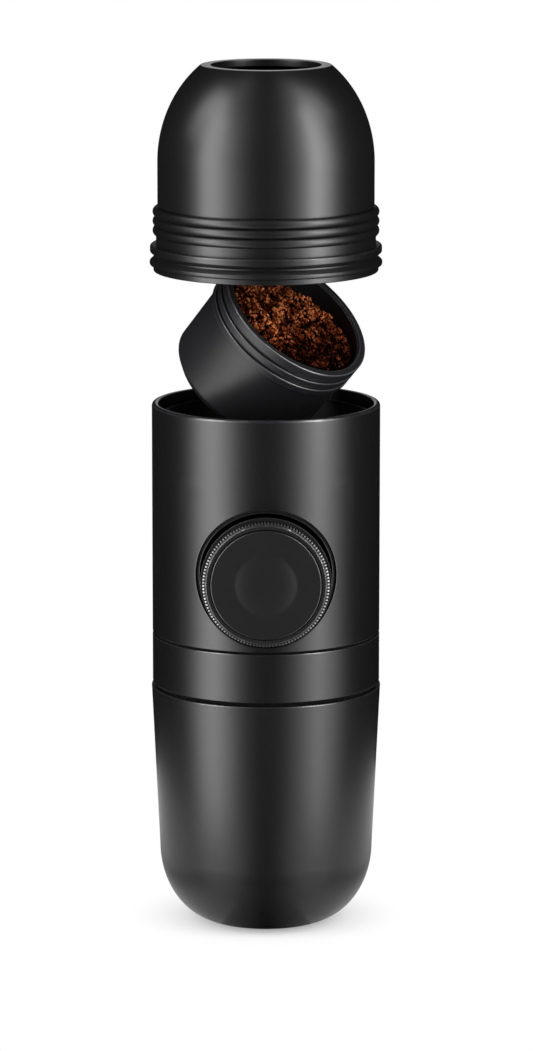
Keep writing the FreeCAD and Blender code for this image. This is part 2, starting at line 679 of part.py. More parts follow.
def piston_seal():
    """Ring seal in the piston's groove, just short of the bore."""
    middle = (piston_back_depth + piston_front_depth) / 2
    return to_front(ring(BORE_R - FIT, piston_groove_r, middle - SEAL_R, middle + SEAL_R))


def return_spring():
    """Coil that pushes the knob out, round the barrel between the chassis plate and the knob."""
    low = ear_back_depth + SPRING_WIRE_R + FIT
    high = wall_back_depth - SPRING_WIRE_R - FIT
    helix = Part.makeHelix((high - low) / SPRING_TURNS, high - low, spring_mean_r)
    section = Part.Wire(Part.makeCircle(SPRING_WIRE_R, Vector(spring_mean_r, 0, 0), Vector(0, 1, 0)))
    wire = Part.Wire(helix.Edges).makePipeShell([section], True, True)
    wire.translate(Vector(0, 0, low))
    return to_front(wire)


def block_gasket():
    """Flat gasket between the barrel and the valve block."""
    return to_front(ring(cylinder_r, BORE_R, cylinder_back_depth - GASKET_T, cylinder_back_depth))


def valve_block():
    """Behind the barrel: two ball chambers on one upright channel, and the port between them."""
    solid = block(BLOCK_WIDTH / 2, -block_front, -block_back, block_z, block_top_z)
    place = [Vector(0, valve_y, 0)]
    solid = drilled(solid, TUBE_R + FIT, block_z, lower_port_z, place)
    solid = drilled(solid, PORT_R, lower_port_z, upper_port_z, place)
    solid = drilled(solid, TUBE_R + FIT, upper_port_z, block_top_z, place)
    return solid.cut(to_front(disc(PORT_R, -valve_y, -block_front)))


def inlet_seat():
    """Ring that the lower ball closes on."""
    solid = ring(TUBE_R, PORT_R, inlet_seat_z - SEAT_T, inlet_seat_z)
    solid.translate(Vector(0, valve_y, 0))
    return solid


def ball(seat_level):
    """Valve ball resting on the edge of the port below it."""
    rise = math.sqrt(BALL_R ** 2 - PORT_R ** 2) + FIT / 2
    return Part.makeSphere(BALL_R, Vector(0, valve_y, seat_level + rise))


def delivery_tube():
    """From the outlet valve up into the brew well's floor."""
    return pipe(upper_port_z + CHAMBER_H + SEAT_T, passage_z - PORT_R)


# ---- knob -------------------------------------------------------------------------------------
def knurl(front, back):
    """Zigzag prism of the knob's knurled edge."""
    step = 180 / KNURL_COUNT
    points = [polar(KNOB_R - KNURL_DEPTH * (k % 2), k * step, back) for k in range(2 * KNURL_COUNT)]
    return Part.Face(Part.makePolygon(points + points[:1])).extrude(Vector(0, 0, front - back))


def knob_body():
    """Knurled knob with its flange, skirt, bayonet lugs and hub."""
    hub_r = ROD_R + HUB_WALL
    hub_back = wall_back_depth - ROD_R
    rod_hole_depth = wall_back_depth + ROD_IN_KNOB + ROD_END_GAP
    recess_r = cap_r + FIT
    rim_r = KNOB_R - KNURL_DEPTH - KNOB_BEVEL
    front = Outline(SCREW_R + FIT, cap_back_depth).to(recess_r, cap_back_depth)
    front.to(recess_r, knob_front_depth - 2 * FIT).to(recess_r + 2 * FIT, knob_front_depth)
    front.to(rim_r - KNOB_BEVEL, knob_front_depth).to(rim_r + KNOB_BEVEL, knurl_front_depth)
    front.to(rim_r + KNOB_BEVEL, flange_front_depth).to(knob_flange_r, flange_front_depth)
    front.to(knob_flange_r, flange_back_depth).to(skirt_r, flange_back_depth)
    front.to(skirt_r, lug_back_depth).to(skirt_in_r, lug_back_depth)
    front.to(skirt_in_r, wall_back_depth).to(hub_r, wall_back_depth).to(hub_r, hub_back)
    front.to(ROD_R + FIT, hub_back).to(ROD_R + FIT, rod_hole_depth)
    solid = front.to(SCREW_R + FIT, rod_hole_depth).spin()
    teeth = knurl(knurl_front_depth, flange_front_depth).cut(
        disc(rim_r, flange_front_depth, knurl_front_depth))
    lugs = [sector(lug_r, skirt_in_r, lug_back_depth, lug_front_depth, 360 * k / LUG_COUNT, LUG_DEG)
            for k in range(LUG_COUNT)]
    solid = solid.multiFuse([teeth] + lugs).removeSplitter()
    pocket = disc(SCREW_HEAD_R + FIT, screw_seat_depth(), cap_back_depth)
    return to_front(solid.cut(pocket))


def screw_seat_depth():
    """Depth at which the knob screw's head seats in the knob."""
    return cap_back_depth - SCREW_HEAD_H - FIT


def knob_cap():
    """Disc with a shallow thumb dish that closes the knob's front."""
    ball_r = (DISH_R ** 2 + DISH_DEPTH ** 2) / (2 * DISH_DEPTH)
    chord_mid_r = DISH_R / 2
    chord_mid_depth = face_depth + ball_r - DISH_DEPTH - math.sqrt(ball_r ** 2 - chord_mid_r ** 2)
    outline = Outline(0, cap_back_depth).to(cap_r, cap_back_depth)
    outline.to(cap_r, face_depth - CAP_EDGE).to(cap_r - CAP_EDGE, face_depth).to(DISH_R, face_depth)
    outline.bow(chord_mid_r, chord_mid_depth, 0, face_depth - DISH_DEPTH)
    return to_front(outline.spin())


def knob_screw():
    """Screw on the axis that holds the knob on the rod."""
    solid = screw(screw_seat_depth() - wall_back_depth + ROD_R - EDGE)
    solid.rotate(Vector(), Vector(1, 0, 0), 180)
    solid.translate(Vector(0, 0, screw_seat_depth()))
    return to_front(solid)


# ---- brew well --------------------------------------------------------------------------------
def brew_well():
    """Cup in the top of the shell: thick floor with the water passage, and a thin wall."""
    outline = Outline(0, well_z).to(inner_r, well_z).to(inner_r, well_top_z - EDGE)
    outline.to(inner_r - EDGE, well_top_z).to(well_in_r, well_top_z).to(well_in_r, floor_z)
    solid = outline.to(0, floor_z).spin()
    passage = Part.makeCylinder(PORT_R, valve_y, Vector(0, 0, passage_z), Vector(0, 1, 0))
    solid = solid.cut(passage)
    solid = drilled(solid, TUBE_R + FIT, well_z, passage_z - PORT_R, [Vector(0, valve_y, 0)])
    solid = drilled(solid, TUBE_R - TUBE_WALL, passage_z - PORT_R, passage_z, [Vector(0, valve_y, 0)])
    solid = drilled(solid, PORT_R, passage_z, floor_z, [Vector()])
    solid = drilled(solid, SCREW_R + FIT, well_z, floor_z, boss_places)
    return drilled(solid, SCREW_HEAD_R + FIT, floor_z - SCREW_HEAD_H - FIT, floor_z, boss_places)


def well_screws():
    """Screws down through the well's floor into the chassis bosses."""
    level = floor_z - SCREW_HEAD_H - FIT
    solid = screw(level - well_z + BOSS_H - BOSS_SKIN)
    solid.rotate(Vector(), Vector(1, 0, 0), 180)
    return grouped(solid, [p + Vector(0, 0, level) for p in boss_places])


def shower_screen():
    """Sieve over the water passage, inside the seat gasket."""
    return sieve(seat_gasket_in_r - SLIP, floor_z, floor_z + SCREEN_T)


def basket_gasket():
    """Soft ring that the seated basket stands on."""
    return ring(seat_gasket_r, seat_gasket_in_r, floor_z, floor_z + SEAT_GASKET_T)


# ---- basket, drawn seated and then leaned -------------------------------------------------------
def basket():
    """Cup with a chamfered foot, a sieve floor, and a lip with two ribs under it."""
    outline = Outline(basket_in_r - FILTER_LEDGE, seat_z)
    outline.to(seat_gasket_r, seat_z).to(basket_base_r, seat_z + BASKET_CHAMFER)
    ribs_low = mouth_z - LIP_BAND - sum(RIB_HEIGHTS) - len(RIB_HEIGHTS) * RIB_GROOVE
    outline.to(basket_top_r, ribs_low)
    level = ribs_low
    for height in reversed(RIB_HEIGHTS):
        outline.to(lip_r - EDGE, level).bow(lip_r, level + height / 2, lip_r - EDGE, level + height)
        outline.to(basket_top_r, level + height).to(basket_top_r, level + height + RIB_GROOVE)
        level += height + RIB_GROOVE
    outline.to(lip_r - EDGE, level).to(lip_r, level + EDGE).to(lip_r, mouth_z - EDGE)
    outline.to(lip_r - EDGE, mouth_z).to(basket_in_r + MOUTH_CHAMFER, mouth_z)
    outline.to(basket_in_r, mouth_z - MOUTH_CHAMFER).to(basket_in_r, seat_z + BASKET_FLOOR)
    return outline.to(basket_in_r - FILTER_LEDGE, seat_z + BASKET_FLOOR).spin()


def basket_filter():
    """Sieve on the basket's inner ledge."""
    low = seat_z + BASKET_FLOOR
    return sieve(basket_in_r - FIT, low, low + SCREEN_T)


def coffee_grounds():
    """Charge of ground coffee: level at the near wall, falling away behind."""
    radius = basket_in_r - FIT
    low = seat_z + BASKET_FLOOR + SCREEN_T
    level = mouth_z - COFFEE_DROP
    back = level - COFFEE_SLOPE * (radius - COFFEE_SLOPE_START)
    profile = Outline(-radius, low).to(radius, low).to(radius, back)
    profile = profile.to(COFFEE_SLOPE_START, level).to(-radius, level)
    slab = profile.face().extrude(Vector(0, 2 * radius, 0))
    slab.translate(Vector(0, -radius, 0))
    slab.rotate(Vector(), Vector(0, 0, 1), TILT_AZIMUTH_DEG + 90)
    return slab.common(disc(radius, low, level))


def swing_axis():
    """A point on the line about which the basket swings, and the line's direction."""
    move_s = leaning_base_s
    move_z = leaning_base_z - seat_z
    reach = 2 * math.tan(tilt / 2)
    pole_s = move_s / 2 + move_z / reach
    pole_z = seat_z + move_z / 2 - move_s / reach
    along = polar(1, TILT_AZIMUTH_DEG)
    return along * pole_s + Vector(0, 0, pole_z), Vector(0, 0, 1).cross(along)


def leaned(shape):
    """Swing a seated piece out to where the basket leans in the mouth."""
    point, direction = swing_axis()
    shape.rotate(point, direction, TILT_DEG)
    return shape


# ---- outlet head, drawn closed and then lifted ----------------------------------------------------
def dome_r(level, half_r, half_z):
    """Radius of a dome with the given half axes at a level."""
    return half_r * math.sqrt(1 - ((level - dome_z) / half_z) ** 2)


def head_shell():
    """Dome with an open top, a cylinder, three round ribs, a band and the upper flange."""
    inner_half_z = DOME_REACH_H - HEAD_WALL
    roof_z = head_top_z - HEAD_WALL
    step_top_z = plate_top_z + HEAD_WALL
    step_r = head_in_r - SLIP / 2 - SLEEVE_WALL
    outline = Outline(OUTLET_R, head_top_z - EDGE).to(OUTLET_R + EDGE, head_top_z)
    outline.to(dome_r(head_top_z, head_r, DOME_REACH_H), head_top_z)
    outline.oval(0, dome_z, head_r, DOME_REACH_H, head_r, dome_z).to(head_r, cylinder_z)
    level = cylinder_z
    for _ in range(HEAD_RIB_COUNT):
        outline.to(band_r, level)
        outline.bow(band_r + HEAD_RIB_OUT, level - HEAD_RIB_H / 2, band_r, level - HEAD_RIB_H)
        outline.to(band_r, level - rib_step)
        level -= rib_step
    outline.to(band_r, upper_flange_z).to(upper_flange_r - round_r, upper_flange_z)
    outline.bow(upper_flange_r - round_mid, upper_flange_z - round_mid,
                upper_flange_r, upper_flange_z - round_r)
    outline.to(upper_flange_r, lock_ring_z + SEAM + EDGE)
    outline.to(upper_flange_r - EDGE, lock_ring_z + SEAM).to(groove_r, lock_ring_z + SEAM)
    outline.to(groove_r, lock_ring_z).to(head_in_r, lock_ring_z).to(head_in_r, plate_top_z)
    outline.to(step_r, plate_top_z).to(step_r, step_top_z)
    outline.to(head_in_r, step_top_z + SLEEVE_WALL).to(head_in_r, dome_z)
    outline.oval(0, dome_z, head_in_r, inner_half_z, dome_r(roof_z, head_in_r, inner_half_z), roof_z)
    return outline.to(OUTLET_R, roof_z).spin()


def head_lock_ring():
    """Bottom ring: lip, rounded flange, and a sleeve that clamps the filter plate."""
    clamp_r = head_in_r - FIT
    flange_z = head_closed_z + LIP_HEIGHT + SEAM
    flange_top = flange_z + FLANGE_H
    outline = Outline(clamp_r - SLEEVE_WALL, head_closed_z).to(head_lip_r - EDGE, head_closed_z)
    outline.to(head_lip_r, head_closed_z + EDGE).to(head_lip_r, head_closed_z + LIP_HEIGHT)
    outline.to(groove_r, head_closed_z + LIP_HEIGHT).to(groove_r, flange_z)
    outline.to(flange_r - round_r, flange_z)
    outline.bow(flange_r - round_mid, flange_z + round_mid, flange_r, flange_z + round_r)
    outline.to(flange_r, flange_top - round_r)
    outline.bow(flange_r - round_mid, flange_top - round_mid, flange_r - round_r, flange_top)
    outline.to(groove_r, flange_top).to(groove_r, lock_ring_z).to(clamp_r, lock_ring_z)
    return outline.to(clamp_r, plate_low_z).to(clamp_r - SLEEVE_WALL, plate_low_z).spin()


def filter_plate():
    """Plate over the basket's mouth: holds the gasket and the upper sieve, funnels to the nozzle."""
    seat_r = head_screen_r + FIT
    seat_level = plate_low_z + SCREEN_T
    funnel_r = head_screen_r - FUNNEL_INSET
    outline = Outline(seat_r, plate_low_z).to(plate_r, plate_low_z).to(plate_r, plate_top_z)
    outline.to(nozzle_bore, plate_top_z).to(nozzle_bore, seat_level + 2 * FUNNEL_H)
    outline.to(funnel_r, seat_level + FUNNEL_H).to(funnel_r, seat_level)
    solid = outline.to(seat_r, seat_level).spin()
    return drilled(solid, SCREW_R + FIT, nozzle_tip_z, plate_top_z, nozzle_places)


def head_screen():
    """Upper sieve, over the coffee."""
    return sieve(head_screen_r, plate_low_z, plate_low_z + SCREEN_T)


def head_gasket():
    """Soft ring under the filter plate that closes on the basket's lip."""
    outer = lip_r + HEAD_GASKET_OUT
    return ring(outer, outer - HEAD_GASKET_W, gasket_z, plate_low_z)


def nozzle():
    """Spout on the filter plate, inside the dome, tapered at its tip."""
    flange_top = plate_top_z + NOZZLE_FLANGE_T
    tip_z = plate_top_z + NOZZLE_LENGTH
    outline = Outline(nozzle_bore, plate_top_z).to(NOZZLE_FLANGE_R, plate_top_z)
    outline.to(NOZZLE_FLANGE_R, flange_top).to(NOZZLE_R, flange_top)
    outline.to(NOZZLE_R, tip_z - NOZZLE_TAPER_H).to(nozzle_bore + EDGE, tip_z)
    solid = outline.to(nozzle_bore, tip_z).spin()
    return drilled(solid, SCREW_R + FIT, plate_top_z, flange_top, nozzle_places)


def nozzle_screws():
    """Screws through the nozzle's flange into the filter plate."""
    level = plate_top_z + NOZZLE_FLANGE_T
    solid = screw(level - nozzle_tip_z - FIT)
    solid.rotate(Vector(), Vector(1, 0, 0), 180)
    return grouped(solid, [p + Vector(0, 0, level) for p in nozzle_places])


def lifted(shape):
    """Raise a closed head's piece to where the head is held above the basket."""
    shape.translate(Vector(0, 0, head_lift))
    return shape


# ---- all sub-parts ----------------------------------------------------------------------------
def build():
    """Every node's shape by name."""
    nodes = {"inlet_ball": ball(inlet_seat_z), "outlet_ball": ball(upper_port_z)}
    in_place = (water_tank, tank_seal, collar_ring, threaded_neck, vent_valve, base_screws,
                intake_strainer, intake_tube, body_shell, chassis, knob_bezel, bezel_screws,
                pump_cylinder, cylinder_screws, rod_bush, rod_seal, piston_rod, piston_head,
                piston_seal, return_spring, block_gasket, valve_block, inlet_seat, delivery_tube,
                knob_body, knob_cap, knob_screw, brew_well, well_screws, shower_screen,
                basket_gasket)
    for make in in_place:
        nodes[make.__name__] = make()
    for make in (basket, basket_filter, coffee_grounds):
        nodes[make.__name__] = leaned(make())
    for make in (head_shell, head_lock_ring, filter_plate, head_screen, head_gasket, nozzle,
                 nozzle_screws):
        nodes[make.__name__] = lifted(make())
    return nodes


def main():
    """Write one STEP file per node and print the places that the joints use."""
    os.makedirs("parts", exist_ok=True)
    for name, shape in build().items():
        if not shape.isValid():
            print("not valid:", name)
        print(f"{name}: {len(shape.Solids)} solid(s), {shape.Volume:.1f} mm3")
        shape.exportStep(f"parts/{name}.step")
    point, direction = swing_axis()
    print("basket swing axis", point, direction)
    print(f"head lift {head_lift:.3f}, pump axis z {axis_z:.3f}, head top {head_top_z + head_lift:.3f}")


main()
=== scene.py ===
"""Handheld manual espresso maker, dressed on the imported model's frame.

Sizes are millimetres and meshes are drawn in millimetres; an object is made in metres.
The maker stands on its water tank. The pump's axis points to the front, along -Y.
"""

import json
import logging
import math
from collections.abc import Callable, Sequence
from dataclasses import dataclass
from enum import Enum
from itertools import pairwise
from random import Random

import bmesh
import bpy
from mathutils import Matrix, Vector, noise


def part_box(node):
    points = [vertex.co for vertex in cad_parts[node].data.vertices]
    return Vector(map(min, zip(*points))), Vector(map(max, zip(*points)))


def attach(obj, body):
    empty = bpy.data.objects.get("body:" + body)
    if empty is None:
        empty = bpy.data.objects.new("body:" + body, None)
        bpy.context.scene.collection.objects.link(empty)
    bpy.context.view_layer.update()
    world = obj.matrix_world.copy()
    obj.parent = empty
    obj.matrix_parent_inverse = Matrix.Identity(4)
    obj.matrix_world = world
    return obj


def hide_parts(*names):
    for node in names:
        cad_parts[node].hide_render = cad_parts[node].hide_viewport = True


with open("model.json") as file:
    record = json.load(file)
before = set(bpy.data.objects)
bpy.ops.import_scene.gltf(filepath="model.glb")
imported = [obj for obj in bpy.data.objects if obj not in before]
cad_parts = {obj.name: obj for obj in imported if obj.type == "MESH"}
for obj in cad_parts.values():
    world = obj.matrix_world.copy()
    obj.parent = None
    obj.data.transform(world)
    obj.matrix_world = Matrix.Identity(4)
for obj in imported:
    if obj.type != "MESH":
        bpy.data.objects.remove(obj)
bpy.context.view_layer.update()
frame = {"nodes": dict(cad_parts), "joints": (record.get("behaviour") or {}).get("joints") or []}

log = logging.getLogger("espresso_maker")

MM = 0.001
TURNED_STEPS = 240      # facets round a large turned piece
SMALL_STEPS = 128       # facets round the knob
ARC_STEPS = 40          # facets of a long arc in an outline
SHARP = math.radians(35)
MERGE = 2e-7            # metres: points nearer than this are one point
MARK = "mark"           # mesh attribute: how much painted highlight and gloss an edge gets, or how light a coffee flake is drawn, painted shade included
NOISE_SPREAD = (0.3, 0.7)   # nearly all values of a noise lie between these


# ---- materials --------------------------------------------------------------------------------
class Slot(Enum):
    """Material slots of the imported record."""

    BODY = "body_black"
    TANK = "tank_black"
    KNOB = "knob_black"
    INNER = "inner_plastic"
    SILICONE = "silicone"
    STEEL = "stainless"
    COFFEE = "ground_coffee"


def linear(colour: str) -> tuple[float, float, float, float]:
    """Turns an sRGB hex colour into the linear colour that a shader takes.

    Args:
        colour: Six hexadecimal digits after a hash sign.

    Returns:
        Red, green, blue and an alpha of one.
    """
    parts = [int(colour[k:k + 2], 16) / 255 for k in (1, 3, 5)]
    red, green, blue = (p / 12.92 if p <= 0.04045 else ((p + 0.055) / 1.055) ** 2.4 for p in parts)
    return red, green, blue, 1.0


def per_metre(size: float) -> float:
    """Turns the real size of a pattern's grain into the scale of a texture node.

    Args:
        size: Grain size in millimetres.

    Returns:
        Repeats in a metre.
    """
    return 1 / (size * MM)


def add(tree: bpy.types.NodeTree, kind: str, links: dict | None = None,
        values: dict | None = None, **settings: object) -> bpy.types.Node:
    """Adds one node to a tree.

    Args:
        tree: Node tree of a material or of the world.
        kind: Blender's name for the kind of node.
        links: Output sockets by the name or number of the input that they feed.
        values: Constants by the name or number of their input.
        **settings: The node's own properties.

    Returns:
        The new node.
    """
    node = tree.nodes.new(kind)
    for name, setting in settings.items():
        setattr(node, name, setting)
    for name, value in (values or {}).items():
        node.inputs[name].default_value = value
    for name, source in (links or {}).items():
        tree.links.new(source, node.inputs[name])
    return node


def new_tree(name: str) -> tuple[bpy.types.Material, bpy.types.NodeTree]:
    """Makes an empty node material.

    Args:
        name: The material's name.

    Returns:
        The material and its cleared node tree.
    """
    material = bpy.data.materials.new(name)
    material.use_nodes = True
    material.node_tree.nodes.clear()
    return material, material.node_tree


def grained(tree: bpy.types.NodeTree, size: float, detail: float = 2.0) -> bpy.types.Node:
    """Adds a noise whose grain has a real size.

    Args:
        tree: The material's node tree.
        size: Grain size in millimetres.
        detail: Octaves of finer grain.

    Returns:
        The noise node.
    """
    place = add(tree, "ShaderNodeTexCoord").outputs["Object"]
    return add(tree, "ShaderNodeTexNoise", {"Vector": place},
               {"Scale": per_metre(size), "Detail": detail, "Roughness": 0.55})


@dataclass(frozen=True)
class MouldedPlastic:
    """Moulded ABS or polypropylene from a spark-eroded mould.

    The eroded mould leaves a fine even grain, so lamps show as broad soft bands with no
    sharp image. The grain is drawn coarser than its real 0.05 mm so that it shows. Where a
    mesh is marked, the edge is drawn glossier and in a lighter colour, in patches; the lighter
    colour is a painted highlight, so the edge shows as a thin bright line. The finest edges
    have a specular level above one, so that their glint shows. A plastic with no edge
    highlight colour has no painted edge highlight.
    """

    name: str
    slot: Slot
    colour: str
    mottle_colour: str
    roughness: float = 0.32
    roughness_spread: float = 0.03
    specular: float = 0.5
    ior: float = 1.5
    grain: float = 0.28
    grain_height: float = 0.004
    mottle: float = 9.0
    edge_highlight_colour: str | None = "#242426"
    edge_roughness: float = 0.13
    edge_specular: float = 1.0
    edge_patch: float = 2.5
    patch_noise: tuple[float, float] = (0.35, 0.6)
    patch_highlight: tuple[float, float] = (0.5, 1.0)

    def material(self) -> bpy.types.Material:
        """Builds the plastic's shader."""
        material, tree = new_tree(self.name)
        mottle = grained(tree, self.mottle)
        grain = grained(tree, self.grain, 3.0)
        colour = add(tree, "ShaderNodeMix", {0: mottle.outputs["Fac"]},
                     {6: linear(self.colour), 7: linear(self.mottle_colour)}, data_type="RGBA")
        rough = add(tree, "ShaderNodeMapRange", {"Value": grain.outputs["Fac"]},
                    {"From Min": NOISE_SPREAD[0], "From Max": NOISE_SPREAD[1],
                     "To Min": self.roughness - self.roughness_spread,
                     "To Max": self.roughness + self.roughness_spread})
        bump = add(tree, "ShaderNodeBump", {"Height": grain.outputs["Fac"]},
                   {"Strength": 1.0, "Distance": self.grain_height * MM})
        links = {"Base Color": colour.outputs[2], "Roughness": rough.outputs[0],
                 "Normal": bump.outputs[0]}
        if self.edge_highlight_colour is not None:
            links |= self.highlighted_edges(tree, links["Base Color"], links["Roughness"])
        shader = add(tree, "ShaderNodeBsdfPrincipled", links,
                     {"IOR": self.ior, "Specular IOR Level": self.specular})
        add(tree, "ShaderNodeOutputMaterial", {"Surface": shader.outputs[0]})
        return material

    def highlighted_edges(self, tree: bpy.types.NodeTree, colour: bpy.types.NodeSocket,
                 rough: bpy.types.NodeSocket) -> dict[str, bpy.types.NodeSocket]:
        """Paints a highlight on the marked edges and makes them glossier, more in some patches than in
        others.

        Args:
            tree: The material's node tree.
            colour: Colour of the skin away from the marked edges.
            rough: Roughness of the skin away from the marked edges.

        Returns:
            What feeds the shader's colour, roughness and specular level.
        """
        blotches = grained(tree, self.edge_patch).outputs["Fac"]
        patches = add(tree, "ShaderNodeMapRange", {"Value": blotches},
                      {"From Min": self.patch_noise[0], "From Max": self.patch_noise[1],
                       "To Min": self.patch_highlight[0], "To Max": self.patch_highlight[1]})
        marked = add(tree, "ShaderNodeAttribute", attribute_name=MARK)
        highlighted = add(tree, "ShaderNodeMath", {0: marked.outputs["Fac"], 1: patches.outputs[0]},
                   operation="MULTIPLY")
        # Painted highlight: marked edges are drawn in the lighter edge colour.
        skin = add(tree, "ShaderNodeMix", {0: highlighted.outputs[0], 6: colour},
                   {7: linear(self.edge_highlight_colour)}, data_type="RGBA")
        sheen = add(tree, "ShaderNodeMix", {0: highlighted.outputs[0], 2: rough}, {3: self.edge_roughness})
        mirror = add(tree, "ShaderNodeMix", {0: highlighted.outputs[0]},
                     {2: self.specular, 3: self.edge_specular})
        return {"Base Color": skin.outputs[2], "Roughness": sheen.outputs[0],
                "Specular IOR Level": mirror.outputs[0]}


@dataclass(frozen=True)
class SiliconeRubber:
    """Moulded silicone: a dull skin that scatters light softly, with a faint bloom."""

    name: str
    slot: Slot
    colour: str
    roughness: float = 0.8
    specular: float = 0.15
    ior: float = 1.41
    grain: float = 0.5
    grain_height: float = 0.01

    def material(self) -> bpy.types.Material:
        """Builds the rubber's shader."""
        material, tree = new_tree(self.name)
        grain = grained(tree, self.grain, 3.0)
        bump = add(tree, "ShaderNodeBump", {"Height": grain.outputs["Fac"]},
                   {"Strength": 1.0, "Distance": self.grain_height * MM})
        shader = add(tree, "ShaderNodeBsdfPrincipled", {"Normal": bump.outputs[0]},
                     {"Base Color": linear(self.colour), "Roughness": self.roughness,
                      "IOR": self.ior, "Specular IOR Level": self.specular})
        add(tree, "ShaderNodeOutputMaterial", {"Surface": shader.outputs[0]})
        return material


@dataclass(frozen=True)
class StainlessSteel:
    """Stainless steel, rolled or turned: grey metal with a fine drawn grain."""

    name: str
    slot: Slot
    colour: str = "#c3c1bc"
    roughness: float = 0.3
    roughness_spread: float = 0.08
    line: float = 0.4

    def material(self) -> bpy.types.Material:
        """Builds the metal's shader."""
        material, tree = new_tree(self.name)
        lines = grained(tree, self.line, 4.0)
        rough = add(tree, "ShaderNodeMapRange", {"Value": lines.outputs["Fac"]},
                    {"To Min": self.roughness - self.roughness_spread,
                     "To Max": self.roughness + self.roughness_spread})
        shader = add(tree, "ShaderNodeBsdfPrincipled", {"Roughness": rough.outputs[0]},
                     {"Base Color": linear(self.colour), "Metallic": 1.0})
        add(tree, "ShaderNodeOutputMaterial", {"Surface": shader.outputs[0]})
        return material


@dataclass(frozen=True)
class RoastedCoffee:
    """Roasted beans broken by burrs: brown flakes, each of its own roast.

    A flake's mark is how light it is drawn: its roast times painted shade, darker in the heap's
    hollows and towards its low side. The bed under the loose flakes has none and stays nearly
    black, painted shade between the flakes. Bean oil gives small warm glints, the more the
    lighter the flake's mark is.
    """

    name: str
    slot: Slot
    dark: str = "#0a0200"
    middle: str = "#5e230d"
    light: str = "#b86a3c"
    oil: str = "#ffb884"
    tones: tuple[float, float, float] = (0.08, 0.3, 0.66)
    flake: float = 0.9
    fibre: float = 0.25
    fibre_height: float = 0.08
    roughness: float = 0.32
    gloss: float = 0.5
    ior: float = 1.45

    def material(self) -> bpy.types.Material:
        """Builds the shader of the broken flakes."""
        material, tree = new_tree(self.name)
        flakes = grained(tree, self.flake, 1.0)
        fibres = grained(tree, self.fibre, 3.0)
        # The mark carries each flake's roast and its painted shade; the bed's zero mark is painted
        # shade.
        roast = add(tree, "ShaderNodeAttribute", attribute_name=MARK)
        tone = add(tree, "ShaderNodeMath", {0: flakes.outputs["Fac"], 1: roast.outputs["Fac"]},
                   operation="MULTIPLY")
        ramp = add(tree, "ShaderNodeValToRGB", {"Fac": tone.outputs[0]})
        stops = ramp.color_ramp.elements
        darkest, halfway, lightest = self.tones
        stops[0].position, stops[0].color = darkest, linear(self.dark)
        stops[1].position, stops[1].color = lightest, linear(self.light)
        stops.new(halfway).color = linear(self.middle)
        bump = add(tree, "ShaderNodeBump", {"Height": fibres.outputs["Fac"]},
                   {"Strength": 1.0, "Distance": self.fibre_height * MM})
        gloss = add(tree, "ShaderNodeMath", {0: roast.outputs["Fac"]}, {1: self.gloss},
                    operation="MULTIPLY")
        shader = add(tree, "ShaderNodeBsdfPrincipled",
                     {"Base Color": ramp.outputs[0], "Normal": bump.outputs[0],
                      "Specular IOR Level": gloss.outputs[0]},
                     {"Roughness": self.roughness, "IOR": self.ior,
                      "Specular Tint": linear(self.oil)})
        add(tree, "ShaderNodeOutputMaterial", {"Surface": shader.outputs[0]})
        return material


Finish = MouldedPlastic | SiliconeRubber | StainlessSteel | RoastedCoffee

BODY_ABS = MouldedPlastic("moulded_satin_abs", Slot.BODY, "#0c0c0d", "#0f0f10")
TANK_PP = MouldedPlastic("moulded_satin_polypropylene", Slot.TANK, "#0f0f10", "#121213")
BASKET_PP = MouldedPlastic("moulded_soft_satin_polypropylene", Slot.BODY, "#151517", "#19191b",
                           roughness=0.4, specular=0.33, edge_highlight_colour="#4a4a4d")
KNOB_ABS = MouldedPlastic("moulded_fine_matt_abs", Slot.KNOB, "#0f0f10", "#121213",
                          roughness=0.4, specular=0.4656, grain=0.22, edge_highlight_colour="#38383a",
                          edge_specular=3.8797)
DISC_ABS = MouldedPlastic("moulded_soft_matt_abs", Slot.KNOB, "#121213", "#171718",
                          roughness=0.33, specular=0.6, grain=0.22)
BEZEL_ABS = MouldedPlastic("moulded_dull_abs", Slot.KNOB, "#0a0a0b", "#0c0c0d",
                           roughness=0.7, specular=0.1, edge_highlight_colour="#3a3a3c")
# The threaded neck's near-black colour is painted shade for the deep interior seen past the shell and
# the seams.
NECK_PP = MouldedPlastic("dull_polypropylene_painted_shade", Slot.INNER, "#080808", "#0a0a0a",
                         roughness=0.85, specular=0.1, edge_highlight_colour=None)
INNER_PP = MouldedPlastic("moulded_plain_polypropylene", Slot.INNER, "#1b1b1c", "#202021",
                          roughness=0.45, edge_highlight_colour=None)
SEAL_SILICONE = SiliconeRubber("black_silicone_rubber", Slot.SILICONE, "#0b0b0b")
SCREEN_STEEL = StainlessSteel("rolled_stainless_steel", Slot.STEEL)
COFFEE = RoastedCoffee("ground_roasted_coffee", Slot.COFFEE)


class Palette:
    """Makes each finish's material once and dresses objects in it."""

    def __init__(self) -> None:
        """Starts with no material made."""
        self.made: dict[str, bpy.types.Material] = {}

    def dress(self, piece: bpy.types.Object, finish: Finish) -> None:
        """Gives an object one material over all of its faces.

        Args:
            piece: A mesh object.
            finish: What it is made of.
        """
        if finish.name not in self.made:
            self.made[finish.name] = finish.material()
        piece.data.materials.clear()
        piece.data.materials.append(self.made[finish.name])


PALETTE = Palette()


# ---- mesh drawing -----------------------------------------------------------------------------
@dataclass(frozen=True)
class Corner:
    """A point of a turned outline: radius, level, its fillet and how much painted highlight and gloss
    that fillet gets.
    """

    r: float
    z: float
    fillet: float = 0.0
    wear: float = 0.0


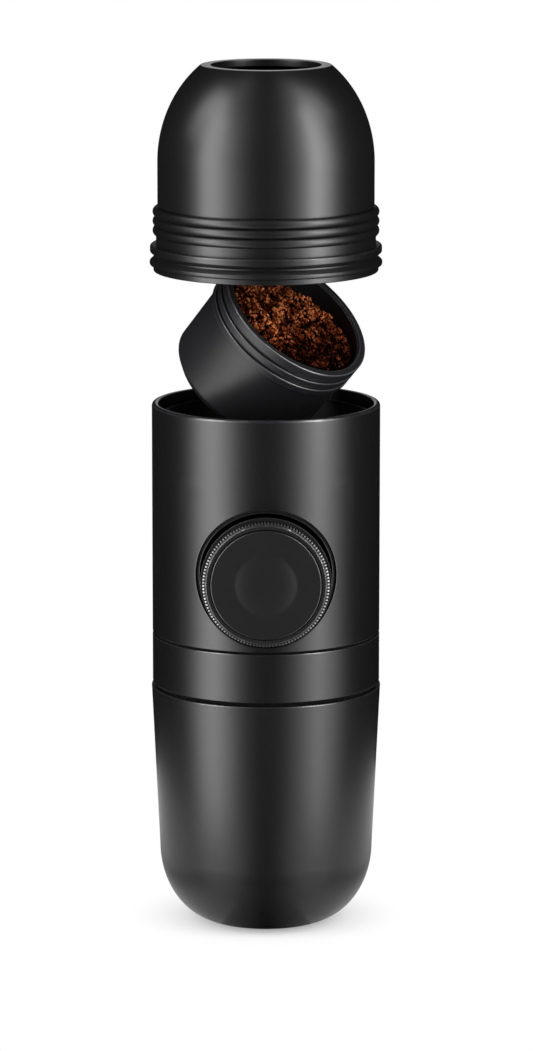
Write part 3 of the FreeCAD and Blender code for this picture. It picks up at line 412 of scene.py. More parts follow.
def rounded(corners: Sequence[Corner], steps: int = 5) -> list[tuple[float, float, float]]:
    """Rounds the filleted corners of a closed outline.

    Args:
        corners: The outline's corners in order.
        steps: Facets in each fillet.

    Returns:
        Radius, level and edge highlight of each point of the rounded outline.
    """
    points = []
    for index, corner in enumerate(corners):
        here = Vector((corner.r, corner.z))
        if corner.fillet == 0:
            points.append((here.x, here.y, corner.wear))
            continue
        last, following = corners[index - 1], corners[(index + 1) % len(corners)]
        back = Vector((last.r, last.z)) - here
        ahead = Vector((following.r, following.z)) - here
        half = back.angle(ahead) / 2
        reach = min(corner.fillet / math.tan(half), back.length / 2, ahead.length / 2)
        centre = here + (back.normalized() + ahead.normalized()).normalized() * reach / math.cos(half)
        spoke = here + back.normalized() * reach - centre
        sweep = spoke.angle_signed(here + ahead.normalized() * reach - centre)
        for k in range(steps + 1):
            point = centre + Matrix.Rotation(-sweep * k / steps, 2) @ spoke
            points.append((point.x, point.y, corner.wear if 0 < k < steps else 0.0))
    return points


def oval(centre: tuple[float, float], half_r: float, half_z: float, start: float, end: float,
         steps: int = 24) -> list[Corner]:
    """Points along part of an upright ellipse.

    Args:
        centre: Radius and level of the ellipse's centre.
        half_r: Half axis along the radius.
        half_z: Half axis along the level.
        start: Angle of the first point in degrees, 0 being outwards and 90 up.
        end: Angle of the last point in degrees.
        steps: Facets in the stretch.

    Returns:
        The points as plain corners.
    """
    corners = []
    for k in range(steps + 1):
        angle = math.radians(start + (end - start) * k / steps)
        corners.append(Corner(centre[0] + half_r * math.cos(angle),
                              centre[1] + half_z * math.sin(angle)))
    return corners


def round_angles(steps: int, first: float = 0.0) -> list[float]:
    """Even angles once round a circle, the last one closing on the first.

    Args:
        steps: Facets in the circle.
        first: The first angle in degrees.

    Returns:
        Angles in radians.
    """
    return [math.radians(first + 360 * k / steps) for k in range(steps + 1)]


class Shells:
    """Collects closed shells in millimetres and makes one object of them."""

    def __init__(self) -> None:
        """Starts with nothing drawn."""
        self.points: list[Vector] = []
        self.faces: list[tuple[int, ...]] = []
        self.marks: list[float] = []

    def sheet(self, rows: Sequence[Sequence[Vector]],
              mark: Callable[[int, int], float] = lambda row, column: 0.0) -> None:
        """Adds a sheet of quads; sheets that share points are joined when the object is made.

        Args:
            rows: Rows of points, each row as long as the next.
            mark: Mark of the point in a row and column.
        """
        width = len(rows[0])
        first = len(self.points)
        for k, row in enumerate(rows):
            self.points.extend(row)
            self.marks.extend(mark(k, j) for j in range(width))
        for k in range(len(rows) - 1):
            for j in range(width - 1):
                corner = first + k * width + j
                self.faces.append((corner, corner + 1, corner + width + 1, corner + width))

    def turned(self, corners: Sequence[Corner], steps: int = TURNED_STEPS) -> None:
        """Adds a closed outline turned once round the Z axis.

        Args:
            corners: The outline's corners in order.
            steps: Facets round the axis.
        """
        outline = rounded(corners)
        outline.append(outline[0])
        angles = round_angles(steps)
        self.sheet([[Vector((r * math.cos(a), r * math.sin(a), z)) for a in angles]
                    for r, z, _ in outline], lambda k, j: outline[k][2])

    def solid(self, points: Sequence[Vector], faces: Sequence[Sequence[int]],
              mark: float = 0.0) -> None:
        """Adds a closed shell that is already made of points and faces.

        Args:
            points: Its corners.
            faces: Corner numbers of each face.
            mark: Mark of all its points.
        """
        first = len(self.points)
        self.points.extend(points)
        self.marks.extend(mark for _ in points)
        self.faces.extend(tuple(first + k for k in face) for face in faces)

    def sector(self, middle: float, sweep: float, radii: tuple[float, float],
               levels: tuple[float, float], facet: float = 3.0) -> None:
        """Adds a closed sector of a ring round the Z axis.

        Args:
            middle: Angle of its middle in degrees.
            sweep: Its angle in degrees.
            radii: Its inner and outer radius.
            levels: Its lowest and highest level.
            facet: Angle of one facet in degrees, about.
        """
        steps = max(4, round(sweep / facet))
        first = middle - sweep / 2
        angles = [math.radians(first + sweep * k / steps) for k in range(steps + 1)]
        (inner, outer), (low, high) = radii, levels
        section = [(inner, low), (outer, low), (outer, high), (inner, high)]
        rows = [[Vector((r * math.cos(a), r * math.sin(a), z)) for r, z in section] for a in angles]
        self.sheet([row + row[:1] for row in rows])
        for row in (rows[0], rows[-1]):
            self.solid(row, [(0, 1, 2, 3)])

    def make(self, name: str, finish: Finish, place: Matrix | None = None,
             smooth: bool = True) -> bpy.types.Object:
        """Makes the object.

        Args:
            name: The piece's name.
            finish: What it is made of.
            place: Where the drawing goes in the row frame, in millimetres.
            smooth: Whether faces that meet at a small angle are shaded as one surface.

        Returns:
            The new object.
        """
        place = place or Matrix.Identity(4)
        mesh = bpy.data.meshes.new(name)
        mesh.from_pydata([(place @ p) * MM for p in self.points], [], self.faces)
        mesh.attributes.new(MARK, "FLOAT", "POINT").data.foreach_set("value", self.marks)
        shape = bmesh.new()
        shape.from_mesh(mesh)
        bmesh.ops.remove_doubles(shape, verts=shape.verts, dist=MERGE)
        bmesh.ops.dissolve_degenerate(shape, edges=shape.edges, dist=MERGE)
        bmesh.ops.recalc_face_normals(shape, faces=shape.faces)
        shape.to_mesh(mesh)
        shape.free()
        piece = bpy.data.objects.new(name, mesh)
        bpy.context.scene.collection.objects.link(piece)
        PALETTE.dress(piece, finish)
        if smooth:
            mesh.shade_smooth()
            mesh.set_sharp_from_angle(angle=SHARP)
            piece.modifiers.new("face normals", "WEIGHTED_NORMAL").keep_sharp = True
        return piece


def seat(piece: bpy.types.Object, body: str, finish: Finish, *nodes: str) -> None:
    """Puts a piece on the body that carries it, in place of the nodes that it stands for.

    Args:
        piece: The piece.
        body: The body's name.
        finish: What the piece is made of.
        *nodes: CAD nodes that it replaces.
    """
    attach(piece, body)
    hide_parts(*nodes)
    log.info("%s on %s for %s: %d faces", piece.name, body, ", ".join(nodes), len(piece.data.polygons))


@dataclass(frozen=True)
class Extent:
    """Lowest and highest corners of a CAD node, in millimetres."""

    low: Vector
    high: Vector

    @classmethod
    def of(cls, node: str) -> "Extent":
        """Reads a node's corners from the frame."""
        low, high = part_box(node)
        return cls(low / MM, high / MM)

    @property
    def radius(self) -> float:
        """Largest radius of a node turned round the Z axis."""
        return (self.high.x - self.low.x) / 2


def joint(name: str) -> dict:
    """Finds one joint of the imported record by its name."""
    return next(j for j in frame["joints"] if j["name"] == name)


# ---- water tank -------------------------------------------------------------------------------
@dataclass(frozen=True)
class WaterTank:
    """Round-bottomed tank with a grooved foot and a threaded mouth."""

    wall: float = 2.0
    floor: float = 2.4
    corner_r: float = 15.7
    corner_h: float = 20.3
    flare: float = 2.1
    pad_r: float = 7.5
    groove: tuple[float, float] = (1.2, 0.5)
    groove_edge: float = 0.2
    thread: float = 0.5
    thread_top: float = 1.5     # pitches from the rim down to the first ridge
    run_out: int = 2            # pitches that the threaded wall is longer than its ridges
    pitch: float = 2.4
    turns: int = 3
    edge: float = 0.35

    def build(self) -> None:
        """Builds the tank in place of its node."""
        size = Extent.of("water_tank")
        rim_r, rim_z = size.radius, size.high.z
        wall_r = rim_r - self.flare
        foot_r = wall_r - self.corner_r
        mouth_r = rim_r - self.wall
        width, height = self.groove
        corners = [Corner(0, 0), Corner(self.pad_r, 0, self.groove_edge),
                   Corner(self.pad_r, height), Corner(self.pad_r + width, height),
                   Corner(self.pad_r + width, 0, self.groove_edge)]
        corners += oval((foot_r, self.corner_h), self.corner_r, self.corner_h, -90, 0, ARC_STEPS)
        corners += [Corner(rim_r, rim_z, self.edge, 1.0), Corner(mouth_r, rim_z, self.edge)]
        for turn in range(self.turns):
            crest = rim_z - (turn + self.thread_top) * self.pitch
            corners += [Corner(mouth_r, crest + 2 * self.thread),
                        Corner(mouth_r - self.thread, crest, self.thread / 3),
                        Corner(mouth_r, crest - 2 * self.thread)]
        corners.append(Corner(mouth_r, rim_z - (self.turns + self.run_out) * self.pitch))
        corners += oval((foot_r, self.corner_h), self.corner_r - self.wall,
                        self.corner_h - self.floor, 0, -90)
        corners.append(Corner(0, self.floor))
        shells = Shells()
        shells.turned(corners)
        seat(shells.make("tank_cup", TANK_PP), "tank", TANK_PP, "water_tank")


# ---- body -------------------------------------------------------------------------------------
@dataclass(frozen=True)
class OpenedTube:
    """Tube round the Z axis with one round opening in its front wall, every edge rounded.

    The mesh of the front wall runs round the opening, so its edge can be rounded evenly.
    Angles count from the front, towards +X.
    """

    outer: float
    inner: float
    low: float
    high: float
    hole_r: float
    hole_z: float
    edge: float = 0.15
    rim_edge: float = 0.8
    hole_edge: float = 0.3
    hole_highlight: float = 0.8
    patch_deg: float = 48.0
    patch_above: float = 24.0
    columns: int = 72
    back_columns: int = 176
    rows: int = 44
    top_rows: int = 8
    rings: int = 6
    hole_steps: int = 5

    def at(self, radius: float, angle: float, z: float) -> Vector:
        """A point by its radius, its angle from the front and its level."""
        return Vector((radius * math.sin(angle), -radius * math.cos(angle), z))

    def front(self, radius: float, x: float, z: float) -> Vector:
        """The point of the front wall at a radius that is seen at x and z from the front."""
        return Vector((x, -math.sqrt(radius ** 2 - x ** 2), z))

    @property
    def wall_low(self) -> float:
        """Level where the lower edge's rounding has ended."""
        return self.low + 2 * self.edge

    @property
    def wall_high(self) -> float:
        """Level where the rim's rounding begins."""
        return self.high - 2 * self.rim_edge

    @property
    def patch_high(self) -> float:
        """Upper level of the patch round the opening."""
        return self.hole_z + self.patch_above

    def spread(self, low: float, high: float, steps: int) -> list[float]:
        """Even steps from one value to another, both included."""
        return [low + (high - low) * k / steps for k in range(steps + 1)]

    def border(self) -> list[tuple[float, float]]:
        """Angle and level of each point once round the patch, the last closing on the first."""
        side = math.radians(self.patch_deg)
        across = self.spread(-side, side, self.columns)
        up = self.spread(self.wall_low, self.patch_high, self.rows)
        loop = [(angle, up[0]) for angle in across] + [(side, z) for z in up[1:]]
        loop += [(angle, up[-1]) for angle in reversed(across[:-1])]
        return loop + [(-side, z) for z in reversed(up[:-1])]

    def opening(self) -> list[list[Vector]]:
        """Rows from the patch's border, over the opening's edge, to the border inside."""
        loop = self.border()
        start_r = self.hole_r + self.hole_edge

        def spoke(angle: float, z: float, radius: float) -> Vector:
            """Direction from the opening's centre to a border point, seen from the front."""
            return Vector((radius * math.sin(angle), z - self.hole_z)).normalized()

        def ring(radius: float, reach: float) -> list[Vector]:
            """One loop at a distance from the opening's centre, on a wall of one radius."""
            ways = [spoke(angle, z, self.outer) * reach for angle, z in loop]
            return [self.front(radius, way.x, self.hole_z + way.y) for way in ways]

        def web(radius: float, reach: float) -> list[list[Vector]]:
            """Loops from the border in to a distance from the opening's centre."""
            rows = []
            for k in range(self.rings + 1):
                row = []
                for angle, z in loop:
                    edge = Vector((radius * math.sin(angle), z - self.hole_z))
                    seen = edge.lerp(spoke(angle, z, self.outer) * reach, k / self.rings)
                    row.append(self.front(radius, seen.x, self.hole_z + seen.y))
                rows.append(row)
            return rows

        rows = web(self.outer, start_r)
        for k in range(1, self.hole_steps + 1):
            turn = math.pi / 2 * k / self.hole_steps
            rows.append(ring(self.outer - self.hole_edge * (1 - math.cos(turn)),
                             start_r - self.hole_edge * math.sin(turn)))
        return rows + web(self.inner, self.hole_r)[::-1]

    def draw(self, shells: Shells) -> None:
        """Adds the tube to the shells.

        Args:
            shells: Where the mesh is collected.
        """
        side = math.radians(self.patch_deg)
        behind = self.spread(side, 2 * math.pi - side, self.back_columns)
        around = self.spread(-side, side, self.columns) + behind[1:]
        beside = self.spread(self.wall_low, self.patch_high, self.rows)
        above = self.spread(self.patch_high, self.wall_high, self.top_rows)
        first_worn = self.rings + 1
        last_worn = self.rings + self.hole_steps - 1
        shells.sheet(self.opening(),
                     lambda k, j: self.hole_highlight if first_worn <= k <= last_worn else 0.0)
        for radius in (self.outer, self.inner):
            shells.sheet([[self.at(radius, angle, z) for angle in behind] for z in beside])
            shells.sheet([[self.at(radius, angle, z) for angle in around] for z in above])
        rim = rounded([Corner(self.outer, self.wall_high),
                       Corner(self.outer, self.high, self.rim_edge, 1.0),
                       Corner(self.inner, self.high, self.rim_edge), Corner(self.inner, self.wall_high)])
        foot = rounded([Corner(self.outer, self.wall_low), Corner(self.outer, self.low, self.edge),
                        Corner(self.inner, self.low, self.edge), Corner(self.inner, self.wall_low)])
        for outline in (rim, foot):
            shells.sheet([[self.at(r, angle, z) for angle in around] for r, z, _ in outline],
                         lambda k, j: outline[k][2])


@dataclass(frozen=True)
class Body:
    """Collar band and the shell with its round opening for the knob."""

    collar_wall: float = 2.0
    shell_wall: float = 1.75
    edge: float = 0.2
    top_edge: float = 0.35
    bore_gap: float = 0.05

    def build(self) -> None:
        """Builds the collar and the shell in place of their nodes."""
        size = Extent.of("collar_ring")
        inner = size.radius - self.collar_wall
        shells = Shells()
        shells.turned([Corner(inner, size.low.z), Corner(size.radius, size.low.z, self.edge),
                       Corner(size.radius, size.high.z, self.top_edge, 1.0), Corner(inner, size.high.z)])
        seat(shells.make("collar_band", BODY_ABS), "body", BODY_ABS, "collar_ring")

        size = Extent.of("body_shell")
        bezel = Extent.of("knob_bezel")
        tube = OpenedTube(size.radius, size.radius - self.shell_wall, size.low.z, size.high.z,
                          (bezel.high.z - bezel.low.z) / 2 + self.bore_gap,
                          (bezel.high.z + bezel.low.z) / 2)
        shells = Shells()
        tube.draw(shells)
        seat(shells.make("shell_tube", BODY_ABS), "body", BODY_ABS, "body_shell")


# ---- knob -------------------------------------------------------------------------------------
@dataclass(frozen=True)
class Knob:
    """Knurled knob with a dished disc in its front, drawn along its axis and laid to the front.

    A level of the drawing is a depth in front of the body's axis.
    """

    radius: float = 16.45
    tooth: float = 0.45
    teeth: int = 120
    tooth_shares: tuple[float, float, float] = (0.5, 0.58, 0.92)    # crest, flank and valley end
    tooth_nose: tuple[float, float] = (0.03, 0.29)      # inside the crest, and behind the front
    tooth_bevel: float = 0.5
    nose_length: float = 0.6
    core_gap: float = 0.2       # core below the valleys, and the teeth's roots below the core
    knurl_length: float = 3.4
    bevel: float = 0.25
    band_edge: float = 0.1
    band_highlight: float = 0.8
    edge: float = 0.2
    flange: float = 0.6
    flange_edge: float = 0.12
    flange_t: float = 0.8
    front_t: float = 2.6
    disc_r: float = 14.35
    disc_t: float = 1.4
    disc_edge: float = 0.22
    groove: float = 0.22
    skirt_r: float = 15.45
    skirt_wall: float = 1.9
    lug_t: float = 1.8
    lug_deg: float = 26.0
    lugs: int = 3
    rod_r: float = 3.25
    hub_wall: float = 2.35
    screw_r: float = 1.05
    dish_r: float = 8.25
    dish_reach: float = 1.3     # where the dish's soft rim has run out, in radii of the dish
    dish_steps: int = 44
    dish_depth: float = 0.85
    dish_power: float = 2.6
    dish_soft: float = 0.05

    @property
    def place(self) -> Matrix:
        """Turns the drawing's Z axis to the front, on the pump's axis."""
        middle = Vector(joint("knob_turn")["pos_m"]) / MM
        return Matrix.Translation((0, 0, middle.z)) @ Matrix.Rotation(math.pi / 2, 4, "X")

    def build(self) -> None:
        """Builds the grip and the disc in place of their nodes."""
        grip = Extent.of("knob_body")
        face = -Extent.of("knob_cap").low.y
        self.build_grip(-grip.low.y, -grip.high.y, face)
        self.build_disc(face)

    def build_grip(self, front: float, back: float, face: float) -> None:
        """Builds the knurled part with its flange, skirt and bayonet lugs.

        Args:
            front: Depth of the grip's front.
            back: Depth of the skirt's back edge.
            face: Depth of the disc's face.
        """
        knurl_front = front - self.bevel
        flange_front = knurl_front - self.knurl_length
        flange_back = flange_front - self.flange_t
        seat_z = face - self.disc_t
        wall_z = seat_z - self.front_t
        core_r = self.radius - self.tooth - self.core_gap
        band_r = core_r - self.bevel
        recess_r = self.disc_r + self.groove
        hub_r = self.rod_r + self.hub_wall
        flange_r = self.radius + self.flange
        skirt_in = self.skirt_r - self.skirt_wall
        rod_end = wall_z + self.front_t / 2
        shells = Shells()
        shells.turned([
            Corner(self.screw_r, seat_z), Corner(recess_r, seat_z),
            Corner(recess_r, front, self.edge),
            Corner(band_r, front, self.band_edge, self.band_highlight), Corner(core_r, knurl_front),
            Corner(core_r, flange_front), Corner(flange_r, flange_front, self.flange_edge),
            Corner(flange_r, flange_back, self.flange_edge), Corner(self.skirt_r, flange_back),
            Corner(self.skirt_r, back, self.edge), Corner(skirt_in, back, self.edge),
            Corner(skirt_in, wall_z), Corner(hub_r, wall_z),
            Corner(hub_r, wall_z - self.rod_r), Corner(self.rod_r, wall_z - self.rod_r),
            Corner(self.rod_r, rod_end), Corner(self.screw_r, rod_end)], SMALL_STEPS)
        self.draw_knurl(shells, knurl_front, flange_front, core_r)
        for k in range(self.lugs):
            shells.sector(360 * k / self.lugs, self.lug_deg, (skirt_in, flange_r),
                          (back, back + self.lug_t))
        piece = shells.make("knob_grip", KNOB_ABS, self.place)
        seat(piece, "knob", KNOB_ABS, "knob_body")

    def draw_knurl(self, shells: Shells, front: float, back: float, core_r: float) -> None:
        """Adds the ring of straight teeth, bevelled at both ends, their noses marked for a painted
        highlight and gloss.

        Args:
            shells: Where the mesh is collected.
            front: Depth of the teeth's front ends.
            back: Depth of their back ends.
            core_r: Radius of the plain core under them.
        """
        step = 2 * math.pi / self.teeth
        valley = self.radius - self.tooth
        crest_end, flank_end, valley_end = self.tooth_shares
        shape = ((0.0, self.radius), (crest_end, self.radius), (flank_end, valley), (valley_end, valley))
        spots = [((k + share) * step, r) for k in range(self.teeth) for share, r in shape]
        spots.append((2 * math.pi, self.radius))

        def loop(limit: float, z: float) -> list[Vector]:
            """One loop of the teeth's outline, cut to a radius."""
            return [Vector((min(r, limit) * math.cos(a), min(r, limit) * math.sin(a), z))
                    for a, r in spots]

        root = core_r - self.core_gap
        shy, drop = self.tooth_nose
        nose = [loop(core_r, front), loop(self.radius - shy, front - drop),
                loop(self.radius, front - self.tooth_bevel)]
        rows = [loop(root, front), *nose, loop(self.radius, front - self.nose_length),
                loop(self.radius, back + self.tooth_bevel), loop(core_r, back), loop(root, back)]
        # The teeth's noses get the painted highlight and gloss.
        shells.sheet(rows + rows[:1],
                     lambda k, j: float(0 < k <= len(nose) and spots[j][1] == self.radius))

    def build_disc(self, face: float) -> None:
        """Builds the disc with its soft-edged thumb dish.

        Args:
            face: Depth of the disc's face.
        """
        back = face - self.disc_t
        corners = [Corner(0, back), Corner(self.disc_r, back),
                   Corner(self.disc_r, face, self.disc_edge, 1.0)]
        for k in range(self.dish_steps + 1):
            r = self.dish_reach * self.dish_r * (1 - k / self.dish_steps)
            bowl = self.dish_depth * (1 - (r / self.dish_r) ** self.dish_power)
            fall = self.dish_soft * math.log1p(math.exp(bowl / self.dish_soft))
            corners.append(Corner(r, face - fall))
        shells = Shells()
        shells.turned(corners, SMALL_STEPS)
        seat(shells.make("knob_disc", DISC_ABS, self.place), "knob", DISC_ABS, "knob_cap")


@dataclass(frozen=True)
class Bezel:
    """Sleeve in the shell's opening, its front edge following the shell's round outside.

    It is drawn like the knob, along the pump's axis.
    """

    inset: float = 0.6
    wall: float = 0.9
    ear_t: float = 2.6
    ear_shy_deg: float = 1.0
    ledge_t: float = 1.6
    ledge_in: float = 1.55
    slot_deg: float = 34.0
    ledges: int = 3
    edge: float = 0.2
    edge_steps: int = 4
    outer_highlight: float = 0.7     # share of the inner edge's painted highlight and gloss

    def build(self, place: Matrix) -> None:
        """Builds the bezel in place of its node.

        Args:
            place: Turns the drawing's Z axis to the front, on the pump's axis.
        """
        size = Extent.of("knob_bezel")
        back, ear_r, outer = -size.high.y, size.radius, (size.high.z - size.low.z) / 2
        inner = outer - self.wall
        shells = Shells()
        self.draw_sleeve(shells, outer, inner, back)
        ear_sweep = 2 * math.degrees(math.asin(outer / ear_r)) - self.ear_shy_deg
        for middle in (0, 180):
            shells.sector(middle, ear_sweep, (inner, ear_r), (back, back + self.ear_t))
        pitch = 360 / self.ledges
        for k in range(self.ledges):
            shells.sector((k + 0.5) * pitch, pitch - self.slot_deg, (inner - self.ledge_in, inner),
                          (back + self.ear_t, back + self.ear_t + self.ledge_t))
        seat(shells.make("bezel_ring", BEZEL_ABS, place), "body", BEZEL_ABS, "knob_bezel")

    def draw_sleeve(self, shells: Shells, outer: float, inner: float, back: float) -> None:
        """Adds the sleeve, its front edge rounded inside and outside.

        Args:
            shells: Where the mesh is collected.
            outer: The sleeve's outer radius.
            inner: Its inner radius.
            back: Depth of its back end.
        """
        round_r = Extent.of("body_shell").radius - self.inset
        middle = (outer + inner) / 2
        rim = []
        for k in range(self.edge_steps + 1):
            turn = math.pi / 2 * k / self.edge_steps
            rim.append((outer - self.edge * (1 - math.cos(turn)), self.edge * (1 - math.sin(turn))))
        rim += [(2 * middle - r, drop) for r, drop in reversed(rim)]
        angles = round_angles(TURNED_STEPS)

        def row(radius: float, drop: float | None) -> list[Vector]:
            """One loop at a drop behind the round front, or at the back end."""
            points = []
            for a in angles:
                front = math.sqrt(round_r ** 2 - (radius * math.cos(a)) ** 2)
                points.append(Vector((radius * math.cos(a), radius * math.sin(a),
                                      back if drop is None else front - drop)))
            return points

        rows = [row(outer, None)] + [row(r, drop) for r, drop in rim] + [row(inner, None)]
        corner = [0.0] + [1.0] * (self.edge_steps - 1) + [0.0]
        highlighted = [0.0] + [self.outer_highlight * w for w in corner] + corner + [0.0, 0.0]
        shells.sheet(rows + rows[:1], lambda k, j: highlighted[k])


# ---- basket and coffee ------------------------------------------------------------------------
@dataclass(frozen=True)
class Basket:
    """Coffee basket, drawn seated and then swung out to where it leans in the body's mouth."""

    sink: float = 14.7
    length: float = 28.5
    top_r: float = 20.7
    taper: float = 0.4
    wall: float = 1.4
    chamfer: float = 2.2
    floor: float = 1.6
    ledge: float = 2.6
    lip_out: float = 0.8
    lip_band: float = 2.4
    groove: float = 0.9
    ribs: tuple[float, ...] = (1.8, 1.7)
    mouth_chamfer: float = 0.5
    edge: float = 0.3
    bore_edge: float = 0.2
    foot_edge: float = 1.2
    under_edge: float = 0.15    # root below a rib
    over_edge: float = 0.1      # root above a rib
    rib_highlight: float = 0.6
    bore_highlight: float = 0.7

    @property
    def seat_z(self) -> float:
        """Level of the seated basket's bottom."""
        return Extent.of("body_shell").high.z - self.sink

    @property
    def lean(self) -> Matrix:
        """Swings a seated piece out to where it leans, about the joint's own axis."""
        swing = joint("basket_swing")
        middle = Vector(swing["pos_m"]) / MM
        turn = Matrix.Rotation(math.radians(-swing["range_deg"][0]), 4, Vector(swing["axis"]))
        return Matrix.Translation(middle) @ turn @ Matrix.Translation(-middle)

    def build(self) -> None:
        """Builds the cup in place of its node."""
        low, mouth = self.seat_z, self.seat_z + self.length
        base_r, inner = self.top_r - self.taper, self.top_r - self.wall
        lip_r = self.top_r + self.lip_out
        corners = [Corner(inner - self.ledge, low, self.bore_edge),
                   Corner(base_r - self.chamfer, low, self.edge),
                   Corner(base_r, low + self.chamfer, self.foot_edge)]
        level = mouth - self.lip_band - sum(self.ribs) - len(self.ribs) * self.groove
        for height in self.ribs:
            corners += [Corner(self.top_r, level, self.under_edge),
                        Corner(lip_r, level, self.edge, self.rib_highlight),
                        Corner(lip_r, level + height, self.edge, self.rib_highlight),
                        Corner(self.top_r, level + height, self.over_edge)]
            level += height + self.groove
        corners += [Corner(self.top_r, level, self.over_edge),
                    Corner(lip_r, level, self.edge, self.rib_highlight),
                    Corner(lip_r, mouth, self.edge, 1.0),
                    Corner(inner + self.mouth_chamfer, mouth, self.bore_edge, 1.0),
                    Corner(inner, mouth - self.mouth_chamfer, self.edge, self.bore_highlight),
                    Corner(inner, low + self.floor), Corner(inner - self.ledge, low + self.floor)]
        shells = Shells()
        shells.turned(corners)
        seat(shells.make("basket_cup", BASKET_PP, self.lean), "basket", BASKET_PP, "basket")


@dataclass(frozen=True)
class CoffeeHeap:
    """Coarse grounds heaped in the basket: a rough bed under loose flakes.

    The heap is drawn on two level axes through the basket's middle: "down", towards the lowest
    point of the leaning mouth, and "back", square to it and away from the front.
    """

    azimuth: float = -38.4
    screen_t: float = 0.6
    side_gap: float = 0.1
    level: float = -0.7
    crown: float = 0.9
    crown_r: float = 19.0
    crest: float = 10.8
    crest_at: float = 5.0
    crest_bend: tuple[float, float] = (0.045, 0.03)
    slope: float = 0.75
    deepest: float = 11.0
    lump: float = 2.9
    lump_height: float = 2.1
    bed_drop: float = 0.6
    bed_rings: int = 26
    bed_spokes: int = 96
    flakes: int = 4200
    flake: tuple[float, float] = (0.7, 1.7)
    broad: tuple[float, float] = (0.3, 0.8)         # a flake's breadth in its own lengths
    thick: tuple[float, float] = (0.3, 0.6)         # and its thickness
    lopsided: tuple[float, float] = (0.7, 1.15)
    flake_reach: float = 0.6                        # no corner is farther out, in flake lengths
    scatter: float = 0.6
    headroom: float = 1.6                           # highest flake above the mouth
    roast: tuple[float, float] = (0.1, 1.3)
    # Painted shade: flakes in the heap's hollows and towards its low side are drawn darker.
    painted_hollow_shade: float = 1.2
    painted_low_shade: float = 0.75
    low_at: float = 12.0                            # how far down the painted shade of the low side is darkest
    seed: int = 9

    def height(self, down: float, back: float) -> float:
        """Height of the heap's surface above the mouth's plane.

        Args:
            down: Place along the first axis.
            back: Place along the second axis.

        Returns:
            The height in millimetres, below zero inside the basket.
        """
        reach = down - self.crest_at
        bend = self.crest_bend[0] if reach < 0 else self.crest_bend[1]
        fall = max(0.0, back - (self.crest - bend * reach ** 2)) * self.slope
        dome = self.crown * max(0.0, 1 - (down ** 2 + back ** 2) / self.crown_r ** 2)
        lumps = self.lump_height * self.lumpiness(down, back)
        return self.level + dome + lumps - min(fall, self.deepest)

    def lumpiness(self, down: float, back: float) -> float:
        """How far a place lies on a lump or in a hollow, about -1 to 1."""
        return noise.noise(Vector((down, back, 0)) / self.lump)

    def painted_shade(self, down: float, back: float) -> float:
        """Painted shade at a place: grounds are drawn darker in the heap's hollows and low down."""
        lowness = min(1.0, max(0.0, down / self.low_at))
        return (1 + self.painted_hollow_shade * self.lumpiness(down, back)) * (1 - self.painted_low_shade * lowness)

    def build(self, basket: Basket) -> None:
        """Builds the heap in place of its node.

        Args:
            basket: The basket that holds it.
        """
        mouth = basket.seat_z + basket.length
        radius = basket.top_r - basket.wall - self.side_gap
        floor = basket.seat_z + basket.floor + self.screen_t
        turn = Matrix.Rotation(math.radians(self.azimuth), 4, "Z")
        place = basket.lean @ (Matrix.Translation((0, 0, mouth)) @ turn)
        shells = Shells()
        self.draw_bed(shells, radius, floor - mouth)
        self.draw_flakes(shells, radius)
        piece = shells.make("coffee_heap", COFFEE, place, smooth=False)
        seat(piece, "basket", COFFEE, "coffee_grounds")

    def draw_bed(self, shells: Shells, radius: float, floor: float) -> None:
        """Adds the rough solid bed under the loose flakes.

        Args:
            shells: Where the mesh is collected.
            radius: The bed's radius.
            floor: Level of its bottom below the mouth's plane.
        """
        angles = round_angles(self.bed_spokes)

        def row(reach: float, level: Callable[[float, float], float]) -> list[Vector]:
            """One loop of the bed at a distance from its middle."""
            spots = [(reach * math.cos(a), reach * math.sin(a)) for a in angles]
            return [Vector((x, y, level(x, y))) for x, y in spots]

        rows = [row(radius * k / self.bed_rings, lambda x, y: self.height(x, y) - self.bed_drop)
                for k in range(self.bed_rings + 1)]
        rows += [row(radius, lambda x, y: floor), row(0, lambda x, y: floor)]
        # The bed's points keep a zero mark, so it is drawn nearly black: painted shade between the
        # flakes.
        shells.sheet(rows)

    def draw_flakes(self, shells: Shells, radius: float) -> None:
        """Adds the loose flakes, each a lopsided chip turned its own way.

        Args:
            shells: Where the mesh is collected.
            radius: The bed's radius.
        """
        random = Random(self.seed)
        points, faces = chip()
        for _ in range(self.flakes):
            size = random.uniform(*self.flake)
            reach = (radius - size / 2) * math.sqrt(random.random())
            angle = random.uniform(0, 2 * math.pi)
            x, y = reach * math.cos(angle), reach * math.sin(angle)
            z = self.height(x, y) + random.uniform(-self.scatter, self.scatter)
            z = min(z, self.headroom - self.flake_reach * size)
            axis = Vector([random.gauss(0, 1) for _ in range(3)]).normalized()
            turn = Matrix.Rotation(random.uniform(0, 2 * math.pi), 3, axis)
            stretch = Vector((1.0, random.uniform(*self.broad), random.uniform(*self.thick)))
            shape = [turn @ (p * stretch * (size / 2 * random.uniform(*self.lopsided)))
                     for p in points]
            # A flake's mark: its random roast times the painted shade of its place.
            roast = random.uniform(*self.roast) * self.painted_shade(x, y)
            shells.solid([p + Vector((x, y, z)) for p in shape], faces, roast)


def chip() -> tuple[list[Vector], list[tuple[int, ...]]]:
    """Corners and faces of a twenty-faced chip of radius one."""
    shape = bmesh.new()
    bmesh.ops.create_icosphere(shape, subdivisions=1, radius=1)
    points = [v.co.copy() for v in shape.verts]
    faces = [tuple(v.index for v in face.verts) for face in shape.faces]
    shape.free()
    return points, faces


